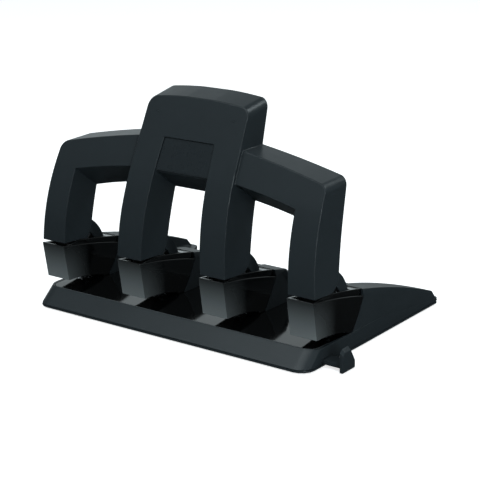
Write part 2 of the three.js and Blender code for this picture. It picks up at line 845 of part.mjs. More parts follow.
function punchFrame() {
  const columnFrontY = slotEndY + shoeEndWall + gap;
  const arcHigh = THREE.MathUtils.radToDeg(Math.asin((cheekTopZ - pivotZ) / cheekReach));
  const neckZ = (y) => slotTop(y) + shoeBottomWall + 2 * gap;
  const cheekOutline = [
    [cheekFrontY, guidePlateZ],
    [frameFootFrontY, guidePlateZ],
    [slotNeckY, neckZ(slotNeckY)],
    [columnFrontY, neckZ(slotNeckY)],
    [columnFrontY, frameFootZ],
    [columnRearY, frameFootZ],
    [columnRearY, columnTopZ],
    [cheekNeckY, columnTopZ],
    ...arc(pivotY, pivotZ, cheekReach, cheekArcLowAngle, arcHigh, curveSteps),
    [cheekFrontY, cheekTopZ],
  ];
  const reach = cheekInnerHalf + cheekThickness / 2;
  const cheeks = [
    prismX(cheekOutline, -cheekOuterHalf, -cheekInnerHalf),
    prismX(cheekOutline, cheekInnerHalf, cheekOuterHalf),
  ];
  const body = union([
    ...cheeks,
    block(-reach, reach, guidePlateFrontY, guidePlateRearY, guidePlateZ, guidePlateTopZ),
    block(-cheekOuterHalf, cheekOuterHalf, frameFootFrontY, columnRearY, frameFootZ, frameFootTopZ),
    block(-reach, reach, columnRearY - columnWeb, columnRearY, frameFootZ, columnTopZ),
  ]);
  return cutAll(body, [
    rod('z', [0, pinLineY], guidePlateZ - gap, guidePlateTopZ + gap, pinRadius + runningGap, pinSides),
    rod('z', [0, pinLineY], frameFootZ - gap, frameFootTopZ + gap, dieSeatRadius, pinSides),
    rod('z', [0, pinLineY], frameFootZ + dieSeatThickness, frameFootTopZ + gap, dieRadius + gap, pinSides),
    rod('x', [pivotY, pivotZ], -towerHalf, towerHalf, pivotHoleRadius, pinSides),
  ]);
}

function die() {
  const bottomZ = frameFootZ + dieSeatThickness + gap;
  const body = rod('z', [0, pinLineY], bottomZ, floorZ - dieDrop, dieRadius, pinSides);
  return body.subtract(rod('z', [0, pinLineY], 0, floorZ + overrun, pinRadius + gap, pinSides));
}

function turned(profile) {
  const geometry = new THREE.LatheGeometry(profile.map(([r, z]) => new THREE.Vector2(r, z)), pinSides);
  geometry.rotateX(Math.PI / 2);
  geometry.translate(0, pinLineY, 0);
  return solidFromGeometry(geometry);
}

const punchPin = () => turned([
  [0, pinTipZ],
  [pinRadius, pinTipZ],
  [pinRadius, pinHeadUnderZ],
  [pinHeadRadius, pinHeadUnderZ],
  [pinHeadRadius, pinHeadZ],
  [0, pinHeadZ],
]);

const returnSpring = () => turned([
  [springInnerRadius, guidePlateTopZ + gap],
  [springRadius, guidePlateTopZ + gap],
  [springRadius, pinHeadUnderZ - gap],
  [springInnerRadius, pinHeadUnderZ - gap],
  [springInnerRadius, guidePlateTopZ + gap],
]);

const pivotPin = () => rod('x', [pivotY, pivotZ], -cheekOuterHalf, cheekOuterHalf, pivotPinRadius, pinSides);

const sector = (inner, outer, low, high) => [
  ...arc(pivotY, pivotZ, outer, low, high, curveSteps),
  ...arc(pivotY, pivotZ, inner, high, low, curveSteps),
];

const armBack = (z) => archFront(z) + armFrontInset + armDepth;

// Steel cam arm: hub, nose over the pin head, heel sector and the column in the leg
function leverArm() {
  const columnZs = spread(armShoulderZ, armTopZ, shortSteps);
  const column = [
    [pivotY - hubRadius, pivotZ],
    ...columnZs.map((z) => [archFront(z) + armFrontInset, z]),
    ...[...columnZs].reverse().map((z) => [armBack(z), z]),
    [pivotY + hubRadius, pivotZ],
  ];
  const noseWeb = [
    [pivotY, pivotZ + noseRadius],
    [noseY - noseRadius, noseZ - noseRadius + gap],
    [noseY, noseZ - noseRadius + gap],
    [noseY, noseZ + noseRadius - gap],
    [pivotY, pivotZ + noseRiseZ + noseRadius],
  ];
  const parts = [
    rod('x', [pivotY, pivotZ], -armHalf, armHalf, hubRadius, pinSides),
    rod('x', [noseY, noseZ], -armHalf, armHalf, noseRadius, pinSides),
    ...[
      column,
      noseWeb,
      sector(armHeelInner, armHeelRadius, heelLowAngle, heelHighAngle),
      sector(hubRadius / 2, (armHeelInner + armHeelRadius) / 2, armWebAngle, heelHighAngle - heelCutAngle),
    ].map((outline) => prismX(outline, -armHalf, armHalf)),
  ];
  return cutAll(union(parts), [
    rod('x', [pivotY, pivotZ], -towerHalf, towerHalf, pivotHoleRadius, pinSides),
    rod('y', [0, armScrewZ], -overrun, overrun, screwHoleRadius, screwSides),
  ]);
}

// Plastic heel over the arm, which slides inside the core as the lever swings
function heelCover() {
  const cap = union([
    sector(heelInner, heelRadius, heelLowAngle, heelCoverAngle),
    sector(heelSkirtRadius, heelInner + gap, heelSkirtAngle, heelCoverAngle),
  ].map((outline) => prismX(outline, -heelHalf, heelHalf)));
  const slotHalf = armHalf + gap;
  const room = sector(heelSkirtRadius - heelSkirtClearance, armHeelRadius + gap,
    heelLowAngle - heelCutAngle, heelCoverAngle + heelCutAngle);
  const legRound = legHeelY - legToeY + gap;
  const leg = [
    [legToeY - overrun, legHeelZ + overrun],
    [legToeY - overrun, legHeelZ - legRound],
    ...arc(legToeY, legHeelZ, legRound, -90, 0, cornerSteps),
    [rearY(legHeelZ + overrun) + gap, legHeelZ + overrun],
  ];
  return cutAll(cap, [prismX(room, -slotHalf, slotHalf), prismX(leg, -towerHalf, towerHalf)]);
}

// Handle outlines, seen along Y, at one depth

const legX = (foot, z, lean) => foot - lean * (z - legFrontZ);
const archLean = (y) => archLeanFrontShare - archLeanGainShare * y / archTopZ;
const archTop = (x, y) => archTopZ + archTopTiltShare * (y - archTopY) - x ** 2 / (2 * archTopRadius);

function archRing(y, inset, bottomZ) {
  const corner = archCorner - inset;
  const lean = archLean(y);
  const edge = legX(archFootOuter, archTop(archFootOuter, y), lean) - inset;
  const right = [
    [legX(archFootOuter, bottomZ, lean) - inset, bottomZ],
    ...arc(edge - corner, archTop(edge - corner, y) - inset - corner, corner, 0, 90, cornerSteps),
    ...spread(edge - corner, 0, shortSteps).slice(1, -1).map((x) => [x, archTop(x, y) - inset]),
  ];
  const left = [...right].reverse().map(([x, z]) => [-x, z]);
  return [...right, ...left].map(([x, z]) => [x, y, z]);
}

function bowTop(x, y) {
  const out = Math.max(Math.abs(x) - bowFlatHalf, 0);
  return bowTopZ + bowTopTiltShare * (y - bowTopY) - bowTopSlopeShare * out - out ** 2 / (2 * bowTopRadius);
}

function bowRing(y, inset, bottomZ) {
  const corner = bowCorner - inset;
  const edge = legX(bowFootOuter, bowTop(bowFootOuter, y), bowLeanShare) - inset;
  const meetX = edge - corner + corner * Math.cos(radians(bowCornerAngle));
  const cornerZ = bowTop(meetX, y) - inset - corner * Math.sin(radians(bowCornerAngle));
  const right = [
    [legX(bowFootOuter, bottomZ, bowLeanShare) - inset, bottomZ],
    ...arc(edge - corner, cornerZ, corner, 0, bowCornerAngle, cornerSteps),
    ...spread(meetX, bowFlatHalf, curveSteps).slice(1).map((x) => [x, bowTop(x, y) - inset]),
  ];
  const left = [...right].reverse().map(([x, z]) => [-x, z]);
  return [...right, ...left].map(([x, z]) => [x, y, z]);
}

const soffitDrop = (y) => soffitSlopeShare * (y - soffitY);

// Window between the arch's leg and the bow's leg, on the right, grown by a wall
function outerWindowRing(y, grow, bottomZ, side) {
  const rise = grow * Math.hypot(1, soffitSlopeShare) - soffitDrop(y);
  const innerTop = windowInnerZ + rise;
  const outerTop = windowOuterZ + rise;
  const innerX = (z) => legX(archFootOuter, z, archLean(y)) - grow;
  const outerX = (z) => legX(bowFootInner, z, legLeanShare) + grow;
  const [x0, x1] = [innerX(innerTop), outerX(outerTop)];
  const top = spread(x1, x0, cornerSteps).map((x) => [x, bowed(x, x0, innerTop, x1, outerTop, windowBulge)]);
  const points = [[innerX(bottomZ), bottomZ], [outerX(bottomZ), bottomZ], ...top];
  return points.map(([x, z]) => [side * x, y, z]);
}

function middleWindowRing(y, grow, bottomZ, topZ) {
  const x = (z) => legX(archFootInner, z, legLeanShare) + grow;
  return [[-x(bottomZ), bottomZ], [x(bottomZ), bottomZ], [x(topZ), topZ], [-x(topZ), topZ]]
    .map(([px, z]) => [px, y, z]);
}

const handleBottomZ = legFrontZ - overrun / 2;
const handleFrontCut = -overrun;
const handleRearCut = archTopZ / 2;
const handleDepths = [handleFrontCut, ...spread(0, rearY(archTopZ), shortSteps), handleRearCut];
const throughY = (ring) => loft(handleDepths.map(ring));

const archBody = (inset) => throughY((y) => archRing(y, inset, handleBottomZ));
const bowBody = (inset) => throughY((y) => bowRing(y, inset, handleBottomZ));

function windows(grow) {
  const middleTop = (y) => middleWindowZ + grow * Math.hypot(1, soffitSlopeShare) - soffitDrop(y);
  return [
    throughY((y) => outerWindowRing(y, grow, handleBottomZ - gap, 1)),
    throughY((y) => outerWindowRing(y, grow, handleBottomZ - gap, -1)),
    throughY((y) => middleWindowRing(y, grow, handleBottomZ - gap, middleTop(y))),
  ];
}

// Side view of the handle between its front and rear curves
function handleProfile(front, frontInset, open) {
  const topZ = archTopZ + overrun;
  const frontZs = [...spread(legFrontZ, panelTopZ, curveSteps + 1), topZ];
  const frontLine = frontZs.map((z) => [front(z) + frontInset, z]);
  if (open) {
    return [[frontInset, handleBottomZ - overrun], ...frontLine,
      [handleRearCut, topZ], [handleRearCut, handleBottomZ - overrun]];
  }
  const rearZs = [topZ, ...spread(panelTopZ, legHeelZ, curveSteps)];
  const heelCentreZ = legHeelZ;
  const heelRound = legHeelY - legToeY;
  return [
    ...frontLine,
    ...rearZs.map((z) => [rearY(z), z]),
    ...arc(legToeY, heelCentreZ, heelRound, 0, -90, cornerSteps).slice(1),
  ];
}

const handleWide = bowFootOuter + overrun;

// Rear wall of the handle down to the legs' heels, where it stops short of the cores at the end of the stroke
function coverBand(depth) {
  const zs = [archTopZ + overrun, ...spread(panelTopZ, legHeelZ, curveSteps)];
  const line = (inwards) => [
    ...zs.map((z) => [rearY(z) - inwards, z]),
    ...arc(legToeY, legHeelZ, legHeelY - legToeY - inwards, 0, -90, cornerSteps).slice(1, 2),
  ];
  return prismX([...line(0), ...line(depth).reverse()], -handleWide, handleWide);
}

const panelBand = (from, to) => prismX([
  ...spread(handleBottomZ, archTopZ, 2 * curveSteps).map((z) => [archFront(z) + from, z]),
  ...spread(archTopZ, handleBottomZ, 2 * curveSteps).map((z) => [archFront(z) + to, z]),
], -handleWide, handleWide);

const recessPrism = (grow) => throughY((y) => middleWindowRing(y, grow, handleBottomZ, panelTopZ + grow));

function handleShell() {
  const outer = union([
    archBody(0).intersect(prismX(handleProfile(archFront, 0, false), -handleWide, handleWide)),
    bowBody(0).intersect(prismX(handleProfile(bowFront, 0, false), -handleWide, handleWide)),
  ]);
  const openProfile = (front) => prismX(handleProfile(front, handleFrontWall, true),
    -handleWide, handleWide);
  const hollow = cutAll(union([
    archBody(handleSideWall).intersect(openProfile(archFront)),
    bowBody(handleSideWall).intersect(openProfile(bowFront)),
  ]), [
    ...windows(handleSideWall),
    recessPrism(handleSideWall).intersect(panelBand(-overrun, panelSeat + handleFrontWall)),
  ]);
  const shell = cutAll(outer, [
    hollow,
    ...windows(0),
    recessPrism(0).intersect(panelBand(-overrun, panelSeat)),
  ]);
  const rootDepth = handleFrontWall / 2;
  const postEnd = rearY(coverPostZ - handlePostRadius) - coverThickness - gap;
  const posts = mirrored(coverPostX).map((x) => rod('y', [x, coverPostZ], archFront(coverPostZ) + rootDepth,
    postEnd, handlePostRadius, screwSides));
  const bosses = towerXs.map((x) => {
    const front = Math.abs(x) > holePitch ? bowFront : archFront;
    return rod('y', [x, armScrewZ], front(armScrewZ) + rootDepth,
      archFront(armScrewZ) + armFrontInset - gap - bossSlack, postRadius, screwSides);
  });
  const holes = [
    ...mirrored(coverPostX).map((x) => rod('y', [x, coverPostZ],
      rearY(coverPostZ) - coverThickness - handleScrewLength, handleRearCut, screwHoleRadius, screwSides)),
    ...towerXs.map((x) => rod('y', [x, armScrewZ], archFront(armScrewZ) + handleFrontWall + gap,
      handleRearCut, screwHoleRadius, screwSides)),
  ];
  return cutAll(union([shell, ...posts, ...bosses]), holes);
}

function handleBackCover() {
  const inset = handleSideWall + gap;
  const plan = cutAll(union([archBody(inset), bowBody(inset)]), windows(inset));
  const bores = mirrored(coverPostX).map((x) => rod('y', [x, coverPostZ], 0, handleRearCut,
    screwHoleRadius, screwSides));
  const counterbores = mirrored(coverPostX).map((x) => rod('y', [x, coverPostZ],
    rearY(coverPostZ) - counterboreDepth, handleRearCut, screwHeadRadius + gap, screwSides));
  return cutAll(plan.intersect(coverBand(coverThickness)), [...bores, ...counterbores]);
}

// Screw along Y with its head behind
function screwForward(x, z, tipY, seatY) {
  const head = rod('y', [x, z], seatY, seatY + screwHeadHeight, screwHeadRadius, screwSides);
  return head.add(rod('y', [x, z], tipY, seatY + gap, screwRadius, screwSides));
}

const coverScrew = (x) => screwForward(x, coverPostZ, rearY(coverPostZ) - handleScrewLength,
  rearY(coverPostZ) - counterboreDepth + gap);

const armScrew = () => screwForward(0, armScrewZ, archFront(armScrewZ) + handleFrontWall + 2 * gap,
  armBack(armScrewZ) + gap + bossSlack);

function frontPanel() {
  const plate = panelBand(panelRecess, panelRecess + panelThickness).intersect(recessPrism(-gap));
  const below = block(-handleWide, handleWide, handleFrontCut, handleRearCut,
    handleBottomZ - overrun, middleWindowZ + gap);
  return plate.subtract(below);
}

// Assembly

const punch = new THREE.Group();

const base = new THREE.Group();
base.add(
  piece('base_housing', baseHousing(), mattPlastic()),
  piece('floor_plate', floorPlate(), glossPlastic()),
  piece('base_rail', baseRail(), steel()),
  piece('guide_bracket', guideBracket(), steel()),
  ...railScrewPlaces.map(([x, y], i) => piece(`rail_screw_${i + 1}`, railScrew(x, y), steel())),
);
punch.add(base);

const tray = new THREE.Group();
tray.add(
  piece('chip_tray', chipTray(), mattPlastic()),
  piece('rubber_strip', rubberStrip(), rubber()),
  ...padPlaces.map(([x, y], i) => piece(`rubber_pad_${i + 1}`, rubberPad(x, y), rubber())),
);
punch.add(tray);

const towerPieces = [
  ['shoe', shoe(), glossPlastic],
  ['tower_core', towerCore(), glossPlastic],
  ['punch_frame', punchFrame(), steel],
  ['die', die(), hardSteel],
  ['punch_pin', punchPin(), hardSteel],
  ['return_spring', returnSpring(), steel],
  ['pivot_pin', pivotPin(), hardSteel],
  ['lever_arm', leverArm(), steel],
  ['heel_cover', heelCover(), mattPlastic],
  ['arm_screw', armScrew(), steel],
];
towerXs.forEach((x, i) => {
  const tower = new THREE.Group();
  tower.position.x = x;
  for (const [name, solid, material] of towerPieces) {
    tower.add(piece(`${name}_${i + 1}`, solid, material()));
  }
  punch.add(tower);
});

const handle = new THREE.Group();
handle.add(
  piece('handle_shell', handleShell(), mattPlastic()),
  piece('handle_back_cover', handleBackCover(), mattPlastic()),
  piece('front_panel', frontPanel(), smoothPlastic()),
  ...mirrored(coverPostX).map((x, i) => piece(`cover_screw_${i + 1}`, coverScrew(x), steel())),
);
punch.add(handle);

const guide = new THREE.Group();
guide.add(piece('paper_guide', paperGuide(), mattPlastic()));
punch.add(guide);

punch.position.y = -pinLineY;

export default punch;
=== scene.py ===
"""Four-hole desk punch with one upright lever handle: fine shapes, finishes and a plain studio."""

import contextlib
import json
import math

import bmesh
import bpy
from mathutils import Matrix, Vector
from mathutils.bvhtree import BVHTree

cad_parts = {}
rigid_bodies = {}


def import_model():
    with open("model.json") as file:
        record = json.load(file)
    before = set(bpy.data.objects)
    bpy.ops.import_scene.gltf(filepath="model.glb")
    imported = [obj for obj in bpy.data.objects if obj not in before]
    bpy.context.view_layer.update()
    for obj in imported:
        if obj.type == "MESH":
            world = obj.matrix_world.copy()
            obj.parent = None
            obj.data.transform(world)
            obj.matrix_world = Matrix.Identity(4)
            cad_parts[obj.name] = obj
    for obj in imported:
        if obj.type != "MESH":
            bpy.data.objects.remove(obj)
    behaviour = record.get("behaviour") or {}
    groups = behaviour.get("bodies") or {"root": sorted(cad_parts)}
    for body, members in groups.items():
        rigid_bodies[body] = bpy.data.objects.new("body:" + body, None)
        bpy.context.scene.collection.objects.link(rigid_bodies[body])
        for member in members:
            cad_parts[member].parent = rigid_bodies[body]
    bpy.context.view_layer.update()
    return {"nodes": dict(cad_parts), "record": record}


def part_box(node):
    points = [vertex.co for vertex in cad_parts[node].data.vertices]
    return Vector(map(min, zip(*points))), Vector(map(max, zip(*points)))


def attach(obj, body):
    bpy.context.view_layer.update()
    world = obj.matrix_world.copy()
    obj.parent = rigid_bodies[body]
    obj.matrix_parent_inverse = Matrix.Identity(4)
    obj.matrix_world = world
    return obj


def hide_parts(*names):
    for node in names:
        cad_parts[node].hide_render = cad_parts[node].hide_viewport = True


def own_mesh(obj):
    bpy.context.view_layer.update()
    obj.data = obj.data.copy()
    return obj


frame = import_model()

bl_info = {
    "name": "Four-hole lever punch",
    "version": (1, 0, 0),
    "blender": (4, 5, 0),
    "location": "View3D > Sidebar > Punch",
    "description": "Builds the plastic mouldings, springs, screws and studio of a desk punch",
    "category": "Object",
}

MM = 0.001
TOWERS = (1, 2, 3, 4)
LATHE_STEPS = 48
WIRE_STEPS = 12
DOME_SHARE = 1.6
CROSS_LENGTH_SHARE = 1.1
CROSS_WIDTH_SHARE = 0.28
CROSS_LIFT_SHARE = 0.85
SHORTEST = 0.25
JOIN_DIVISOR = 20
DOUBLED = 0.002
STRAIGHT_ON = -0.85
ROOM_SHARE = 0.4


# Numbers, places and names

def lerp(a, b, share):
    return a + (b - a) * share


def spread(start, end, steps):
    return [lerp(start, end, i / steps) for i in range(steps + 1)]


def arc(cx, cy, radius, start, end, steps):
    """Points on a round arc, angles in degrees."""
    return [
        (cx + radius * math.cos(math.radians(a)), cy + radius * math.sin(math.radians(a)))
        for a in spread(start, end, steps)
    ]


def middle(node):
    low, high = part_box(node)
    return (low + high) / 2


def settings(context):
    return context.scene.punch_settings


def body_of(node):
    """Name of the moving body that a CAD node rides on."""
    return frame["nodes"][node].parent.name.split(":")[1]


SLOTS = {part["node"]: part["material_slot"] for part in frame["record"]["subparts"]}


# Meshes

@contextlib.contextmanager
def edited(mesh):
    """Opens a mesh for changes and puts the result back."""
    bm = bmesh.new()
    bm.from_mesh(mesh)
    yield bm
    bm.to_mesh(mesh)
    bm.free()


def linked(name, data):
    """A new object in the scene."""
    made = bpy.data.objects.new(name, data)
    bpy.context.scene.collection.objects.link(made)
    return made


def object_from_bmesh(bm, name):
    mesh = bpy.data.meshes.new(name)
    bm.to_mesh(mesh)
    bm.free()
    return linked(name, mesh)


def loft(name, rings):
    """Closed body through rings of equal length, with a face at each end."""
    bm = bmesh.new()
    loops = [[bm.verts.new(p) for p in ring] for ring in rings]
    count = len(rings[0])
    for low, high in zip(loops, loops[1:]):
        for i in range(count):
            j = (i + 1) % count
            bm.faces.new((low[i], low[j], high[j], high[i]))
    bm.faces.new(list(reversed(loops[0])))
    bm.faces.new(loops[-1])
    bmesh.ops.recalc_face_normals(bm, faces=bm.faces)
    return object_from_bmesh(bm, name)


def prism_x(name, outline, x0, x1):
    """An outline of (y, z) points pushed along X."""
    return loft(name, [[(x, y, z) for y, z in outline] for x in (x0, x1)])


def discard(obj):
    mesh = obj.data
    bpy.data.objects.remove(obj)
    if mesh and not mesh.users:
        bpy.data.meshes.remove(mesh)


def baked(obj):
    """Applies the live modifiers of an object to a plain mesh of its own."""
    graph = bpy.context.evaluated_depsgraph_get()
    mesh = bpy.data.meshes.new_from_object(obj.evaluated_get(graph))
    old = obj.data
    obj.modifiers.clear()
    obj.data = mesh
    mesh.name = obj.name
    if not old.users:
        bpy.data.meshes.remove(old)
    return obj


def boolean(body, operation, *others):
    for other in others:
        step = body.modifiers.new(operation, "BOOLEAN")
        step.operation = operation
        step.solver = "EXACT"
        step.object = other
        baked(body)
        discard(other)
    return body


def cleaned(obj, shortest, flat=0.4):
    """Joins doubled points, takes out edges too short to round and makes flat faces whole but convex."""
    with edited(obj.data) as bm:
        bmesh.ops.remove_doubles(bm, verts=bm.verts, dist=shortest / JOIN_DIVISOR)
        bmesh.ops.dissolve_limit(bm, angle_limit=math.radians(flat), verts=bm.verts, edges=bm.edges)
        bmesh.ops.connect_verts_concave(bm, faces=bm.faces)
        bmesh.ops.dissolve_degenerate(bm, edges=bm.edges, dist=shortest)
    return obj


def dressed_copy(node, name):
    """A copy of a CAD node's mesh with its loose triangles joined and its flat faces whole."""
    bm = bmesh.new()
    bm.from_mesh(frame["nodes"][node].data)
    return cleaned(object_from_bmesh(bm, name), SHORTEST * MM)


def rounded(obj, width, segments=3, angle=24, smooth=38, share=None):
    """Rounds the sharp edges by a small radius and shades the rest smooth.

    Where share is given, it says from an edge's two ends what share of the radius the edge gets.
    """
    weigh_edges(obj.data, width, angle, share)
    sharp_form = surface(obj.data)
    bevel = obj.modifiers.new("Rounded edges", "BEVEL")
    bevel.width = width
    bevel.segments = segments
    bevel.limit_method = "WEIGHT"
    bevel.use_clamp_overlap = False
    baked(obj)
    for vertex in obj.data.vertices:
        place, normal, face, distance = sharp_form.find_nearest(vertex.co)
        if distance > width / 2:
            vertex.co = place
    return shade(obj, smooth) if smooth else obj


def shade(obj, angle=38):
    """Smooth shading that follows the large faces, with hard breaks above the angle."""
    obj.data.shade_smooth()
    with edited(obj.data) as bm:
        for edge in bm.edges:
            edge.smooth = edge.calc_face_angle(0) <= math.radians(angle)
    weighted = obj.modifiers.new("Even shading", "WEIGHTED_NORMAL")
    weighted.weight = 100
    weighted.keep_sharp = True
    return baked(obj)


def surface(mesh):
    """A search tree of a mesh's faces, all as triangles."""
    bm = bmesh.new()
    bm.from_mesh(mesh)
    bmesh.ops.triangulate(bm, faces=bm.faces)
    tree = BVHTree.FromBMesh(bm)
    bm.free()
    return tree


def away(edge, vert):
    return (edge.other_vert(vert).co - vert.co).normalized()


def room_beside(edge):
    """Length of the shortest edge that a rounding of this edge would run along."""
    lengths = [
        other.calc_length() for vert in edge.verts for other in vert.link_edges
        if other is not edge and away(edge, vert).dot(away(other, vert)) > STRAIGHT_ON
    ]
    return min(lengths, default=math.inf)


def weigh_edges(mesh, width, angle, share):
    """Gives each edge its share of the radius, less where a neighbour is too short for it."""
    with edited(mesh) as bm:
        weight = bm.edges.layers.float.new("bevel_weight_edge")
        for edge in bm.edges:
            if edge.calc_face_angle(0) > math.radians(angle):
                wanted = share(*(v.co for v in edge.verts)) if share else 1
                edge[weight] = min(wanted, ROOM_SHARE * room_beside(edge) / width)


def turned(name, profile, centre, axis="Z"):
    """A body turned on a lathe from (radius, height) points, which end on the axis or close to a ring."""
    bm = bmesh.new()
    rings = []
    for radius, height in profile:
        if radius == 0:
            rings.append([bm.verts.new((0, 0, height))])
        else:
            circle = arc(0, 0, radius, 0, 360, LATHE_STEPS)[:-1]
            rings.append([bm.verts.new((x, y, height)) for x, y in circle])
    for low, high in zip(rings, rings[1:]):
        for i in range(LATHE_STEPS):
            j = i + 1
            corners = low[i % len(low)], low[j % len(low)], high[j % len(high)], high[i % len(high)]
            bm.faces.new(list(dict.fromkeys(corners)))
    if len(rings[0]) > 1:
        for i in range(LATHE_STEPS):
            j = (i + 1) % LATHE_STEPS
            bm.faces.new((rings[-1][i], rings[-1][j], rings[0][j], rings[0][i]))
    bmesh.ops.recalc_face_normals(bm, faces=bm.faces)
    turn = Matrix.Rotation(math.radians(90), 4, "Y") if axis == "X" else Matrix.Identity(4)
    bmesh.ops.transform(bm, matrix=Matrix.Translation(centre) @ turn, verts=bm.verts)
    return object_from_bmesh(bm, name)


def refined(node, width, segments=2, angle=24, share=None):
    """A CAD node with rounded edges and smooth faces, which stands for the plain one."""
    made = dressed_copy(node, f"{node}_fine")
    rounded(made, width, segments, angle, share=share)
    return finish_piece(made, node)


# What a finished piece gets

def material(slot):
    """The detailed material made here for a slot; the CAD's own plain one has the slot's bare name."""
    return bpy.data.materials[f"fine_{slot}"]


def paint(obj, node):
    """Gives an object the finish of a CAD node's slot."""
    obj.data.materials.clear()
    obj.data.materials.append(material(SLOTS[node]))


def finish_piece(obj, *nodes):
    """Gives a piece the finish, the body and the slot of the CAD nodes that it stands for."""
    paint(obj, nodes[0])
    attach(obj, body_of(nodes[0]))
    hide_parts(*nodes)
    return obj


# Node trees

class Nodes:
    """The node tree of a material, the world or a shape, with short calls that add and join its nodes."""

    def __init__(self, tree):
        self.tree = tree
        tree.nodes.clear()

    def feed(self, socket, source):
        """Joins another node's output to a socket, or sets the socket's own value."""
        if isinstance(source, bpy.types.NodeSocket):
            self.tree.links.new(source, socket)
        elif source is not None:
            socket.default_value = source

    def node(self, kind, *sources, **named):
        """Adds a node: small names set its options, and the rest feed its inputs by order or by name."""
        made = self.tree.nodes.new(kind)
        for key in filter(str.islower, named):
            setattr(made, key, named[key])
        for source, socket in zip(sources, made.inputs):
            self.feed(socket, source)
        for key, value in named.items():
            if not key.islower():
                for source in value if isinstance(value, list) else [value]:
                    self.feed(made.inputs[key.replace("_", " ")], source)
        return made.outputs

    def add(self, kind, *sources, **named):
        """Adds a node and gives its first output."""
        return self.node(kind, *sources, **named)[0]

    def math(self, operation, a, b=0.0):
        return self.add("ShaderNodeMath", a, b, operation=operation)

    def place(self):
        return self.node("ShaderNodeTexCoord")["Object"]

    def ray(self, kind):
        return self.node("ShaderNodeLightPath")[f"Is {kind} Ray"]

    def noise(self, scale, detail, roughness=0.5, place=None):
        place = place or self.place()
        return self.add("ShaderNodeTexNoise", Vector=place, Scale=scale, Detail=detail, Roughness=roughness)

    def ramp(self, fac, low, high, start=0, end=1, **options):
        """Stretches a value between start and end to the range from low to high."""
        return self.add("ShaderNodeMapRange", fac, start, end, low, high, **options)

    def mix(self, fac, a, b):
        """Mixes two colours; a mix node's colours come after its numbers and vectors."""
        return self.node("ShaderNodeMix", fac, *[None] * 5, a, b, data_type="RGBA")[2]

    def bump(self, height, strength, distance):
        return self.add("ShaderNodeBump", Strength=strength, Distance=distance, Height=height)

    def shader(self, **inputs):
        self.node("ShaderNodeOutputMaterial", self.add("ShaderNodeBsdfPrincipled", **inputs))


class Geometry(Nodes):
    """A Geometry Nodes tree with named inputs."""

    def __init__(self, name, **inputs):
        super().__init__(bpy.data.node_groups.new(name, "GeometryNodeTree"))
        new_socket = self.tree.interface.new_socket
        new_socket("Geometry", in_out="OUTPUT", socket_type="NodeSocketGeometry")
        for label, kind in inputs.items():
            new_socket(label, in_out="INPUT", socket_type=f"NodeSocket{kind}")
        self.given = self.node("NodeGroupInput")

    def shape(self, kind, **named):
        return self.add(f"GeometryNode{kind}", **named)

    def vector(self, x, y, z):
        return self.add("ShaderNodeCombineXYZ", x, y, z)

    def move(self, geometry, offset, turn=(0, 0, 0)):
        return self.shape("Transform", Geometry=geometry, Translation=offset, Rotation=turn)

    def row(self, instance, count, start, step):
        line = self.shape("MeshLine", Count=count, Start_Location=start, Offset=step)
        return self.shape("InstanceOnPoints", Points=line, Instance=instance)

    def finish(self, geometry):
        """Realize Instances and Set Material, then the tree's output."""
        real = self.shape("RealizeInstances", Geometry=geometry)
        done = self.shape("SetMaterial", Geometry=real, Material=self.given["Material"])
        self.node("NodeGroupOutput", done)
        return self.tree


# Shapes that repeat

def grown(name, tree, **values):
    """Evaluates a tree with its inputs set, and keeps the result as a plain mesh."""
    obj = linked(name, bpy.data.meshes.new(name))
    step = obj.modifiers.new("Repeats", "NODES")
    step.node_group = tree
    for item in tree.interface.items_tree:
        if item.in_out == "INPUT":
            step[item.identifier] = values[item.name]
    return baked(obj)


def spring_tree():
    """A coil of round wire whose first and last turns lie flatter than the middle ones."""
    g = Geometry("Return spring", Coil_radius="Float", Wire_radius="Float", Turns="Float", Height="Float",
                 Foot="Vector", Material="Material")
    given = g.given
    coil = g.shape("CurveSpiral", Resolution=LATHE_STEPS // 2, Rotations=given["Turns"], Height=0.0,
                   Start_Radius=given["Coil_radius"], End_Radius=given["Coil_radius"])
    eased = g.add("ShaderNodeMapRange", Value=g.shape("SplineParameter"), interpolation_type="SMOOTHSTEP")
    climb = g.math("SUBTRACT", given["Height"], g.math("MULTIPLY", given["Wire_radius"], 2.0))
    rise = g.math("ADD", given["Wire_radius"], g.math("MULTIPLY", eased, climb))
    coil = g.shape("SetPosition", Geometry=coil, Offset=g.vector(0.0, 0.0, rise))
    wire = g.shape("CurvePrimitiveCircle", Resolution=WIRE_STEPS, Radius=given["Wire_radius"])
    swept = g.shape("CurveToMesh", Curve=coil, Profile_Curve=wire, Fill_Caps=True)
    return g.finish(g.move(swept, given["Foot"]))


